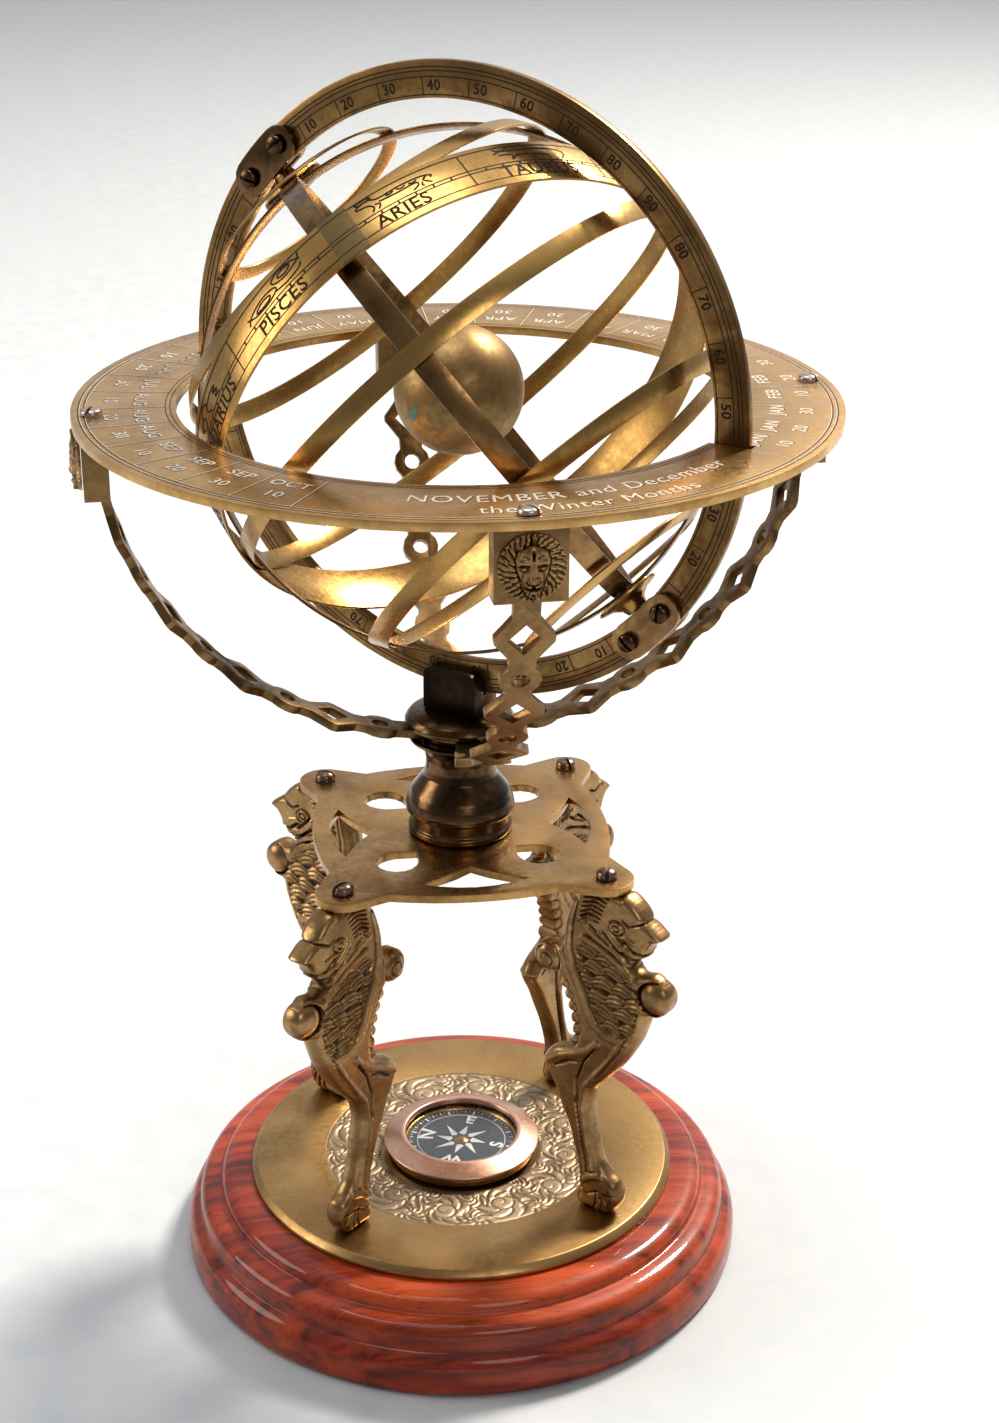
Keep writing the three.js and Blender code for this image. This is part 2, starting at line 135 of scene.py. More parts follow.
# ---------------- materials
class Nodes:
    """A material's node tree with short calls for what the finishes share."""

    def __init__(self, name):
        self.material = bpy.data.materials.new(name)
        self.material.use_nodes = True
        self.tree = self.material.node_tree
        self.tree.nodes.clear()
        out = self.tree.nodes.new("ShaderNodeOutputMaterial")
        self.shader = self.tree.nodes.new("ShaderNodeBsdfPrincipled")
        self.tree.links.new(self.shader.outputs[0], out.inputs["Surface"])
        self.object = self.add("ShaderNodeTexCoord").outputs["Object"]

    def add(self, kind, **settings):
        node = self.tree.nodes.new(kind)
        for key, value in settings.items():
            setattr(node, key, value)
        return node

    def put(self, socket, value):
        """A number or colour on a socket, or a link into it."""
        if isinstance(value, bpy.types.NodeSocket):
            self.tree.links.new(value, socket)
        else:
            socket.default_value = value

    def wired(self, kind, output, **inputs):
        """A node with its inputs set or linked by name: gives its output."""
        node = self.add(kind)
        for key, value in inputs.items():
            self.put(node.inputs[key], value)
        return node.outputs[output]

    def noise(self, scale, detail=4.0, vector=None, roughness=0.55, distortion=0.0):
        source = vector or self.object
        settings = {"Scale": scale, "Detail": detail, "Roughness": roughness, "Distortion": distortion}
        return self.wired("ShaderNodeTexNoise", "Fac", Vector=source, **settings)

    def stretched(self, scale, source=None):
        return self.wired("ShaderNodeMapping", "Vector", Vector=source or self.object, Scale=scale)

    def span(self, value, low, high, to_low=0.0, to_high=1.0):
        ends = {"From Min": low, "From Max": high, "To Min": to_low, "To Max": to_high}
        return self.wired("ShaderNodeMapRange", "Result", Value=value, **ends)

    def math(self, kind, a, b=0.0, c=0.02):
        node = self.add("ShaderNodeMath", operation=kind)
        for socket, value in zip(node.inputs, (a, b, c)):
            self.put(socket, value)
        return node.outputs[0]

    def mix(self, share, a, b):
        node = self.add("ShaderNodeMix", data_type="RGBA")
        self.put(node.inputs[0], share)
        self.put(node.inputs[6], a)
        self.put(node.inputs[7], b)
        return node.outputs[2]

    def attribute(self, name):
        return self.add("ShaderNodeAttribute", attribute_name=name).outputs["Fac"]

    def bump(self, height, strength, distance):
        bumped = self.wired("ShaderNodeBump", 0, Strength=strength, Distance=distance, Height=height)
        self.put(self.shader.inputs["Normal"], bumped)

    def set(self, **values):
        for key, value in values.items():
            self.put(self.shader.inputs[key.replace("_", " ")], value)


def brass(name, bright, dark, stain_and_shade, rough=(0.22, 0.42), tarnish=0.5, grain=0.5, pits=0.0):
    """Aged brass: blotches of tarnish, brushed lines along the turning, bright edges, and hollows darkened
    with grime and painted shade.
    """
    n = Nodes(name)
    bright, dark, stain_and_shade = (*bright, 1), (*dark, 1), (*stain_and_shade, 1)
    blotch = n.noise(38, 7, roughness=0.62, distortion=0.4)
    mottle = n.noise(420, 4)
    flow = n.add("ShaderNodeUVMap", uv_map="flow").outputs[0]
    brushed = n.noise(1.0, 3, vector=n.stretched((60, 2600, 1), flow))
    specks = n.noise(1100, 2)
    shade = n.math("ADD", n.math("MULTIPLY", blotch, 0.75), n.math("MULTIPLY", mottle, 0.25))
    lean = 0.12 * (0.5 - tarnish)
    tone = n.mix(n.span(shade, 0.40 + lean, 0.62 + lean), dark, bright)
    tone = n.mix(n.span(specks, 0.66, 0.76, 0.0, 0.6 * tarnish), tone, stain_and_shade)
    tone = n.mix(n.span(brushed, 0.35, 0.65, 0.16 * grain, 0.0), tone, stain_and_shade)
    edge = n.add("ShaderNodeNewGeometry").outputs["Pointiness"]
    # concave spots (low pointiness) pull the tone to the stain colour: grime and painted shade
    tone = n.mix(n.span(edge, 0.40, 0.485, 0.75, 0.0), tone, stain_and_shade)
    tone = n.mix(n.span(edge, 0.52, 0.62, 0.0, 0.6), tone, (*[min(1, c * 1.25) for c in bright[:3]], 1))
    # the hollows' mask does the same: grime and painted shade
    tone = n.mix(n.attribute("grime_and_shade"), tone, stain_and_shade)
    n.set(Base_Color=tone, Metallic=1.0)
    wear = n.math("ADD", n.math("MULTIPLY", mottle, 0.5), n.math("MULTIPLY", blotch, 0.5))
    n.set(Roughness=n.span(wear, 0.36, 0.64, rough[1], rough[0]))
    height = n.math("ADD", n.math("MULTIPLY", brushed, 0.5 * grain), n.math("MULTIPLY", mottle, 0.6 + pits))
    n.bump(height, 0.22, 0.00012)
    return n.material


def plain(name, colour, other, rough, metallic=0.0, scale=700, shine=0.5):
    """A fine-grained fill, such as the black in an engraved line."""
    n = Nodes(name)
    grain = n.noise(scale, 3)
    tone = n.mix(n.span(grain, 0.35, 0.65), (*colour, 1), (*other, 1))
    n.set(Base_Color=tone, Metallic=metallic, Specular_IOR_Level=shine)
    n.set(Roughness=n.span(grain, 0.3, 0.7, rough - 0.1, rough + 0.1))
    n.bump(grain, 0.15, 0.0001)
    return n.material


def mahogany(name):
    """Red-brown wood with straight grain along X under a thick clear lacquer."""
    n = Nodes(name)
    figure = n.noise(1.0, 6, vector=n.stretched((9, 150, 150)), distortion=0.9)
    pores = n.noise(1.0, 3, vector=n.stretched((70, 1500, 1500)))
    bands = n.noise(1.0, 2, vector=n.stretched((3, 34, 34)), distortion=1.5)
    tone = n.mix(n.span(figure, 0.34, 0.66), (0.075, 0.006, 0.002, 1), (0.340, 0.033, 0.006, 1))
    tone = n.mix(n.span(bands, 0.45, 0.70, 0, 0.55), tone, (0.58, 0.082, 0.013, 1))
    tone = n.mix(n.span(pores, 0.56, 0.70, 0, 0.65), tone, (0.045, 0.006, 0.004, 1))
    n.set(Base_Color=tone, Roughness=n.span(figure, 0.3, 0.7, 0.34, 0.48))
    n.set(Coat_Weight=0.6, Coat_Roughness=0.05, Coat_IOR=1.42, Specular_IOR_Level=0.15)
    n.bump(n.math("ADD", n.math("MULTIPLY", pores, 0.3), figure), 0.12, 0.0003)
    return n.material


def clear_glass(name):
    """Thin glass: almost nothing face on, and a reflection at a slant."""
    n = Nodes(name)
    smear = n.noise(60, 3)
    facing = n.add("ShaderNodeLayerWeight").outputs["Facing"]
    n.set(Base_Color=n.mix(smear, (0.93, 0.96, 0.95, 1), (0.97, 0.98, 0.98, 1)), Metallic=1.0)
    n.set(Roughness=n.span(smear, 0.3, 0.7, 0.02, 0.06))
    n.set(Alpha=n.math("MULTIPLY_ADD", n.math("POWER", facing, 4.0), 0.6))
    return n.material


# bright, dark and stain colours (the stain colour also darkens hollows as grime and painted shade), then the
# roughness from bright to dark, tarnish, brushed grain and pits
ANTIQUE = brass(
    "antique_brass", (0.50, 0.285, 0.10), (0.235, 0.12, 0.038), (0.055, 0.028, 0.012), (0.22, 0.38)
)
BAND = brass(
    "band_brass", (0.54, 0.32, 0.100), (0.35, 0.195, 0.058), (0.07, 0.036, 0.014), (0.20, 0.34), 0.38, 0.4
)
AGED = brass("aged_brass", (0.40, 0.23, 0.082), (0.165, 0.086, 0.029), (0.045, 0.023, 0.011), (0.22, 0.38))
RING = brass(
    "ring_brass", (0.68, 0.41, 0.15), (0.40, 0.225, 0.075), (0.07, 0.036, 0.015), (0.24, 0.38), 0.42
)
STRIP = brass(
    "arm_brass", (0.28, 0.165, 0.065), (0.09, 0.050, 0.020), (0.03, 0.018, 0.010),
    (0.26, 0.44), 0.6, 0.3, 0.5,
)
# the colures' brass, darkened as painted shade
SHADE_DARKENED = brass(
    "shade_darkened_brass", (0.36, 0.205, 0.075), (0.070, 0.036, 0.015), (0.02, 0.012, 0.008),
    (0.18, 0.34), 0.6, 0.5,
)
BALL = brass(
    "ball_brass", (0.42, 0.27, 0.11), (0.21, 0.13, 0.052), (0.05, 0.03, 0.015), (0.38, 0.54), 0.5, 0.3
)
BLACKENED = brass(
    "blackened_brass", (0.034, 0.020, 0.011), (0.010, 0.007, 0.005), (0.008, 0.006, 0.005),
    (0.24, 0.40), 0.6, 0.3,
)
CAST = brass(
    "cast_brass", (0.42, 0.255, 0.11), (0.20, 0.11, 0.045), (0.035, 0.020, 0.010),
    (0.24, 0.42), 0.55, 0.0, 0.9,
)
DARK = brass(
    "dark_brass", (0.17, 0.092, 0.040), (0.036, 0.022, 0.013), (0.012, 0.008, 0.006), (0.14, 0.30), 0.6, 0.6
)
DISC = brass(
    "disc_brass", (0.48, 0.295, 0.115), (0.30, 0.175, 0.064), (0.10, 0.055, 0.022), (0.28, 0.42), 0.35, 0.8
)
CHASED = brass(
    "chased_brass", (0.42, 0.315, 0.20), (0.22, 0.155, 0.098), (0.05, 0.036, 0.025),
    (0.40, 0.56), 0.45, 0.0, 0.3,
)
COPPER = brass("copper", (0.74, 0.45, 0.34), (0.58, 0.33, 0.24), (0.20, 0.09, 0.055), (0.26, 0.4), 0.4, 0.4)
STEEL = brass(
    "steel", (0.33, 0.22, 0.165), (0.14, 0.088, 0.064), (0.03, 0.021, 0.016), (0.2, 0.36), 0.5, 0.3
)
PALE_STEEL = brass(
    "pale_steel", (0.66, 0.56, 0.50), (0.40, 0.31, 0.27), (0.07, 0.048, 0.04), (0.2, 0.34), 0.4, 0.3
)
WOOD = mahogany("mahogany")
GLASS = clear_glass("clear_glass")
CARD = plain("black_card", (0.012, 0.016, 0.020), (0.026, 0.032, 0.036), 0.34)
PRINT = plain("white_print", (0.78, 0.79, 0.76), (0.60, 0.63, 0.62), 0.45)
FILL = plain("engraving_fill", (0.014, 0.009, 0.006), (0.036, 0.021, 0.012), 0.6, shine=0.1)
# pale strokes on the horizon's lines and letters: a painted highlight on the cut edges
CUT_HIGHLIGHT = plain("painted_cut_highlight", (0.78, 0.71, 0.60), (0.60, 0.50, 0.38), 0.35, 0.35)
STAINED = brass(
    "stained_brass", (0.20, 0.130, 0.052), (0.050, 0.040, 0.020), (0.018, 0.022, 0.013),
    (0.26, 0.46), 0.5, 0.6, 0.5,
)
VERDIGRIS = plain("verdigris", (0.05, 0.16, 0.13), (0.12, 0.30, 0.25), 0.7)


# ---------------- mesh making
def mesh_of(name, verts, faces, flow=None, grime_and_shade=None, smooth=38):
    """A mesh from points in mm: flow is a UV pair for each face corner; the mask after it is a number for
    each point, grime and painted shade in the hollows.
    """
    mesh = bpy.data.meshes.new(name)
    mesh.from_pydata([tuple(float(c) * MM for c in v) for v in verts], [], faces)
    if flow is not None:
        layer = mesh.uv_layers.new(name="flow")
        layer.data.foreach_set("uv", np.asarray(flow, np.float32).ravel() * MM)
    if grime_and_shade is not None:
        depths = mesh.attributes.new("grime_and_shade", "FLOAT", "POINT")
        depths.data.foreach_set("value", np.asarray(grime_and_shade, np.float32))
    mesh.shade_smooth()
    mesh.set_sharp_from_angle(angle=radians(smooth))
    return mesh


def piece(name, mesh, material, node=None, body=None, place=None):
    """A piece of the object: it stands for the CAD node and rides on its body, or on the body named."""
    obj = linked(name, mesh)
    if not mesh.materials:
        mesh.materials.append(material)
    if place is not None:
        obj.matrix_world = place
    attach(obj, body or frame["nodes"][node]["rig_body"])
    if node:
        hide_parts(node)


def axes(x, y, z, origin=(0, 0, 0)):
    """A placing whose local axes are x, y and z at origin, in mm."""
    m = Matrix((Vector(x), Vector(y), Vector(z))).transposed().to_4x4()
    m.translation = Vector(origin)
    return m


def on_axis(profile):
    """True for a profile that starts and ends on the axis, and so needs no side to close it."""
    return profile[0][0] == profile[-1][0] == 0


def rounded(points, radius, steps=3):
    """The profile with each corner replaced by a short curve."""
    made, count = [], len(points)
    for i, p in enumerate(points):
        if on_axis(points) and i in (0, count - 1):
            made.append(p)
            continue
        p, a, b = Vector(p), Vector(points[i - 1]), Vector(points[(i + 1) % count])
        cut = min(radius, (a - p).length * 0.45, (b - p).length * 0.45)
        start, end = p + (a - p).normalized() * cut, p + (b - p).normalized() * cut
        for k in range(steps + 1):
            t = k / steps
            made.append(tuple((1 - t) ** 2 * start + 2 * t * (1 - t) * p + t * t * end))
    return made


def turned(name, node, profile, material, segments=192, place=None, body=None):
    """A piece made by turning a profile, (radius, height) pairs up its outside, about the place's z axis."""
    rows, verts = [], []
    for r, z in profile:
        around = 1 if r < 1e-6 else segments
        rows.append((len(verts), around))
        verts += [polar(r, TAU * j / around, z) for j in range(around)]
    faces, flow, run = [], [], 0.0
    for i in range(len(profile) - 1 if on_axis(profile) else len(profile)):
        (a, na), (b, nb) = rows[i], rows[(i + 1) % len(rows)]
        if na == nb == 1:
            continue
        p, q = profile[i], profile[(i + 1) % len(profile)]
        step, widest = hypot(q[0] - p[0], q[1] - p[1]), max(p[0], q[0])
        for j in range(segments):
            corners = [(a, na, j, 0), (a, na, j + 1, 0), (b, nb, j + 1, 1), (b, nb, j, 1)]
            if na == 1:
                corners = [corners[0], corners[2], corners[3]]
            if nb == 1:
                corners = [corners[0], corners[1], corners[2]]
            faces.append([base + k % n for base, n, k, _ in corners])
            flow += [(TAU * k / segments * widest, run + up * step) for _, _, k, up in corners]
        run += step
    if place is not None:
        verts = [tuple(place @ Vector(v)) for v in verts]
    piece(name, mesh_of(name, verts, faces, flow), material, node, body)


def bar(inner, outer, low, high, soft=0.25, steps=2):
    """A ring's rectangular section with softened edges, running up its outside."""
    return rounded([(outer, low), (outer, high), (inner, high), (inner, low)], soft, steps)


def refined(node, soft=0.25, corner=0.0):
    """The CAD node's shape in one skin, its flat faces whole and its edges softened.

    corner rounds the top corners that run along the meridian's own axis.
    """
    b = bmesh.new()
    b.from_mesh(frame["nodes"][node].data)
    bmesh.ops.remove_doubles(b, verts=b.verts, dist=2e-6)
    bmesh.ops.dissolve_limit(b, angle_limit=radians(1.0), verts=b.verts, edges=b.edges)

    def soften(edges, reach, **shape):
        bmesh.ops.bevel(b, geom=edges, offset=reach * MM, affect="EDGES", clamp_overlap=True, **shape)

    if corner:
        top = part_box(node)[1].z - 0.3 * MM
        level = [e for e in b.edges if min(v.co.z for v in e.verts) > top]
        ways = [(e, (e.verts[1].co - e.verts[0].co).normalized()) for e in level]
        along = [e for e, way in ways if abs(way.dot(MERIDIAN_NORMAL)) > 0.98]
        soften(along, corner, segments=4, profile=0.5)
    sharp = [e for e in b.edges if len(e.link_faces) == 2 and e.calc_face_angle() > radians(35)]
    soften(sharp, soft, segments=2, profile=0.6)
    bmesh.ops.triangulate(b, faces=[f for f in b.faces if len(f.verts) > 4])
    mesh = bpy.data.meshes.new(node + "_skin")
    b.to_mesh(mesh)
    b.free()
    if "custom_normal" in mesh.attributes:
        mesh.attributes.remove(mesh.attributes["custom_normal"])
    mesh.materials.clear()
    mesh.shade_smooth()
    mesh.set_sharp_from_angle(angle=radians(35))
    return mesh


def unit(value):
    """The value kept between 0 and 1."""
    return np.clip(value, 0, 1)


def dome(square):
    """A round bulge's height, 1 in the middle, where square is the squared distance from it, 1 at its rim."""
    return np.sqrt(unit(1 - square))


# ---------------- relief: a height over an outline
def smooth_line(points, per, closed=False, pull=0.5):
    """A smooth line through the points, with that many steps from each to the next."""
    p = np.array(points, float)
    if closed:
        a, b, c, d = np.roll(p, 1, 0), p, np.roll(p, -1, 0), np.roll(p, -2, 0)
    else:
        p = np.array([2 * p[0] - p[1], *p, 2 * p[-1] - p[-2]])
        a, b, c, d = p[:-3], p[1:-2], p[2:-1], p[3:]
    made = []
    for t in np.arange(per) / per:
        bend, twist = 3 * (c - b) - pull * (2 * (c - a) + (d - b)), pull * ((c - a) + (d - b)) - 2 * (c - b)
        made.append(b + pull * t * (c - a) + t * t * bend + t**3 * twist)
    line = np.stack(made, 1).reshape(-1, 2)
    return line if closed else np.vstack([line, c[-1:]])


def distance(x, y, line, closed=False):
    """The distance of each point from a line, the place along it from 0 to 1, and the nearest point on it."""
    line = np.array(line, float)
    ends = np.roll(line, -1, 0) if closed else line[1:]
    starts = line if closed else line[:-1]
    lengths = np.hypot(*(ends - starts).T)
    total, run = lengths.sum(), 0.0
    best, along = np.full(x.shape, 1e9), np.zeros(x.shape)
    nx, ny = np.zeros(x.shape), np.zeros(x.shape)
    for (ax, ay), (bx, by), length in zip(starts, ends, lengths):
        t = unit(((x - ax) * (bx - ax) + (y - ay) * (by - ay)) / max(length**2, 1e-12))
        px, py = ax + t * (bx - ax), ay + t * (by - ay)
        d = np.hypot(x - px, y - py)
        near = d < best
        best, along = np.where(near, d, best), np.where(near, (run + t * length) / total, along)
        nx, ny = np.where(near, px, nx), np.where(near, py, ny)
        run += length
    return best, along, nx, ny


def inside(x, y, outline):
    """True where the point is inside the closed outline."""
    hit = np.zeros(x.shape, bool)
    for (ax, ay), (bx, by) in zip(outline, np.roll(outline, -1, 0)):
        if ay != by:
            hit ^= ((ay > y) != (by > y)) & (x < ax + (y - ay) * (bx - ax) / (by - ay))
    return hit


def ridge(d, width, height):
    """A rounded ridge of that half-width where d is the distance from its line."""
    return height * unit(1 - (d / width) ** 2)


def relief(name, outline, step, height, mirrored=False, smooth=50):
    """A closed mesh over the outline: its top is height(x, y, d), d being the distance in from the outline.

    Its underside is flat at 0, or the top's mirror image.
    """
    outline = np.array(outline, float)
    low, high = outline.min(0) - step, outline.max(0) + step
    x, y = (np.arange(low[k], high[k] + step, step) for k in (0, 1))
    x, y = np.meshgrid(x, y, indexing="ij")
    centre_in = inside(x[:-1, :-1] + step / 2, y[:-1, :-1] + step / 2, outline)
    count = np.zeros(x.shape, int)
    for di in (0, 1):
        for dj in (0, 1):
            count[di : di + centre_in.shape[0], dj : dj + centre_in.shape[1]] += centre_in
    rim = (count > 0) & (count < 4)
    d, _, nx, ny = distance(x, y, outline, closed=True)
    x, y, d = np.where(rim, nx, x), np.where(rim, ny, y), np.where(rim, 0.0, d)
    # height also gives a mask for each point: grime and painted shade in the hollows
    top, grime_and_shade = height(x, y, d)
    used = np.argwhere(count > 0)
    index = np.full(x.shape, -1)
    index[count > 0] = np.arange(len(used))
    n = len(used)
    flat = np.zeros(n)
    xs, ys, zs = x[count > 0], y[count > 0], top[count > 0]
    verts = np.concatenate([np.stack([xs, ys, zs], 1), np.stack([xs, ys, -zs if mirrored else flat], 1)])
    i, j = np.nonzero(centre_in)
    quad = np.stack([index[i, j], index[i + 1, j], index[i + 1, j + 1], index[i, j + 1]], 1)
    faces = quad.tolist() + (quad[:, ::-1] + n).tolist()
    padded = np.pad(centre_in, 1)
    for di, dj, a, b in ((0, -1, 0, 1), (1, 0, 1, 2), (0, 1, 2, 3), (-1, 0, 3, 0)):
        for q in quad[~padded[i + 1 + di, j + 1 + dj]]:
            faces.append([int(q[b]), int(q[a]), int(q[a]) + n, int(q[b]) + n])
    dark = grime_and_shade[count > 0]
    return mesh_of(name, verts, faces, grime_and_shade=np.concatenate([dark, dark]), smooth=smooth)


# ---------------- the base
wood_profile = [
    (0, 0), (105.6, 0), (107.2, 1.2), (107.7, 3), (107.7, 10), (107, 12.8), (105.6, 15), (103.6, 16.4),
    (102.8, 16.8), (102.6, 21.6), (101.8, 23.8), (100, 25.4), (97.4, 26.2), (94.3, 26.5), (94.1, 28.4),
    (92.8, 30.4), (90.4, 31.6), (86.5, 32), (0, BASE_TOP),
]
turned("turned_wood_base", "wood_base", rounded(wood_profile, 1.6, 3), WOOD, 256)

CHASED_IN, CHASED_OUT, CHASED_DEPTH = 31.0, 53.0, 0.9
disc_profile = [
    (0, DISC_LOW), (DISC_RADIUS, DISC_LOW), (DISC_RADIUS, DISC_TOP - 2.2), (DISC_RADIUS - 2.2, DISC_TOP),
    (CHASED_OUT, DISC_TOP), (CHASED_OUT, DISC_TOP - CHASED_DEPTH), (0, DISC_TOP - CHASED_DEPTH),
]
turned("brass_base_disc", "base_disc", rounded(disc_profile, 0.3, 2), DISC, 256)


def chased_ring():
    """The ring of chased leaf scrolls round the compass: one sector's cuts, repeated all the way round."""
    sectors, columns, rows, middle = 6, 112, 64, 42
    pitch = TAU / sectors
    width = pitch * middle
    radii = np.linspace(CHASED_IN, CHASED_OUT, rows)
    rr, aa = np.meshgrid(radii, np.linspace(0, pitch, columns, endpoint=False), indexing="ij")
    depth = np.zeros(rr.shape)

    def leaf(points, wide, deep):
        line = np.array(points, float)
        for shift in (-width, 0, width):
            d, t, _, _ = distance(aa * middle + shift, rr - CHASED_IN, line)
            half = wide * np.clip(np.sin(np.pi * unit(t * 0.92 + 0.05)), 0.05, 1)
            np.maximum(depth, deep * unit(1 - d / half), out=depth)

    def curl(across, cy, size, start, turns, hand):
        """A spiral stem with curved cuts fanning from its outside."""
        cx = width * across

        def spot(reach, angle):
            return cx + reach * cos(angle), cy + reach * sin(angle)

        stem = []
        for k in range(25):
            t = k / 24
            stem.append(spot(size * (1 - 0.86 * t), start + hand * turns * TAU * t))
        leaf(stem, 1.0, 0.34)
        for k in range(8):
            t = k / 7
            angle, reach = start + hand * turns * TAU * 0.66 * t, size * (1 - 0.5 * t)
            cut = []
            for m in range(6):
                u = m / 5
                cut.append(spot(reach + 0.3 + (6.4 - 2.4 * t) * u, angle + hand * 0.62 * u * (1 + 0.9 * u)))
            leaf(cut, 1.3, 0.46)

    curl(0.24, 12.2, 5.6, 2.5, 1.45, -1)
    curl(0.74, 9.6, 5.9, -0.7, 1.45, 1)
    curl(0.50, 18.2, 2.3, 0.4, 1.1, 1)
    curl(0.02, 3.9, 2.4, 3.3, 1.1, -1)
    curl(0.52, 3.0, 1.7, 0.0, 1.0, 1)
    curl(0.98, 17.6, 2.2, 2.4, 1.0, -1)
    edge = np.minimum(rr - CHASED_IN, CHASED_OUT - rr)
    depth = np.where(edge < 0.35, 0.18, depth)
    waves = np.sin(rr * 7.3 + 3 * np.sin(aa * 61)) * np.sin(aa * middle * 6.1 + 2 * np.sin(rr * 2.9))
    surface = DISC_TOP - 0.05 - np.maximum(depth, 0.04 * (0.5 + 0.5 * waves))
    # the cuts are darkened by their depth: grime and painted shade
    rings = list(zip(radii, surface, unit(depth * 1.1)))
    floor = np.full(columns, DISC_TOP - CHASED_DEPTH + 0.02)
    rings += [(radius, floor, np.zeros(columns)) for radius in (CHASED_OUT - 0.02, CHASED_IN)]
    count = sectors * columns
    verts, grime_and_shade, faces = [], [], []
    for i, (radius, level, dark) in enumerate(rings):
        here, there = i * count, (i + 1) % len(rings) * count
        for j in range(count):
            k = (j + 1) % count
            verts.append(polar(radius, TAU * j / count, level[j % columns]))
            grime_and_shade.append(dark[j % columns])
            faces.append([here + j, there + j, there + k, here + k])
    return mesh_of("chased_leaf_ring", verts, faces, grime_and_shade=grime_and_shade, smooth=60)


piece("chased_leaf_ring", chased_ring(), CHASED, body="stand")

# ---------------- the compass
case_low = heights("compass_case")[0]
case = [(0, case_low), (28.6, case_low), (28.6, 39.8), (24.5, 39.8), (24.5, 37.4), (0, 37.4)]
turned("compass_bowl", "compass_case", rounded(case, 0.25, 2), ANTIQUE, 160)
bezel = [
    (26.4, 40.1), (30.3, 40.1), (30.3, 40.9), (23.4, 43.8), (22.2, 43.8), (21.8, 43.4), (21.8, 41.4),
    (26.4, 41.4),
]
turned("copper_bezel", "compass_bezel", rounded(bezel, 0.35, 3), COPPER)
glass = [(0, 40.1), (26.0, 40.1), (26.0, 41.1), (0, 41.1)]
turned("compass_crystal", "compass_glass", glass, GLASS, 128)
dial_low, dial_top = heights("compass_card")
turned("compass_dial_disc", "compass_card", bar(2.4, 22.6, dial_low, dial_top, 0.1, 1), CARD, 128)
cap_low, cap_top = heights("compass_cap")
cap = [
    (0, cap_low), (3.4, cap_low), (3.4, cap_low + 0.5), (3.0, cap_low + 1.0), (1.6, cap_top - 0.25),
    (0.7, cap_top), (0, cap_top),
]
turned("compass_cap_dome", "compass_cap", rounded(cap, 0.3, 2), BAND, 64)


# ---------------- the animal legs
LEG_OUTLINE = [
    (57, 172.7), (66, 172.7), (76, 172.7), (80, 171), (83, 168.5), (85.5, 165.5), (88.8, 163), (92.5, 160),
    (90.8, 158.5), (89, 157.5), (87, 154.5), (86.5, 151.5), (82.5, 148.5), (80.5, 145), (84, 143.2),
    (89, 144), (93.5, 141.5), (96, 137), (95, 131.5), (91.5, 128), (87.5, 127.2), (86.5, 123), (83, 113.5),
    (76.5, 102.5), (69.5, 94), (64.5, 88), (63, 80), (65, 67.5), (68, 57.5), (71.5, 53), (75.5, 50),
    (77, 44.5), (75.5, 40), (72, 36.3), (66, 36.3), (59.5, 36.3), (57.5, 40), (59, 46.5), (57, 57),
    (53.5, 67.5), (49.5, 76.5), (46, 84.5), (42.5, 90.5), (41.5, 94.5), (45, 99.5), (51, 102.5),
    (55, 105.5), (56, 110), (55, 116), (52.5, 122.5), (49.8, 128), (47.5, 132.2), (43, 130.3), (38, 131.5),
    (36.5, 136), (38.5, 141.5), (43, 144.2), (48, 144.5), (50, 148), (50.5, 154), (52, 160), (54.5, 166),
]
LEG_HALF = 5.5


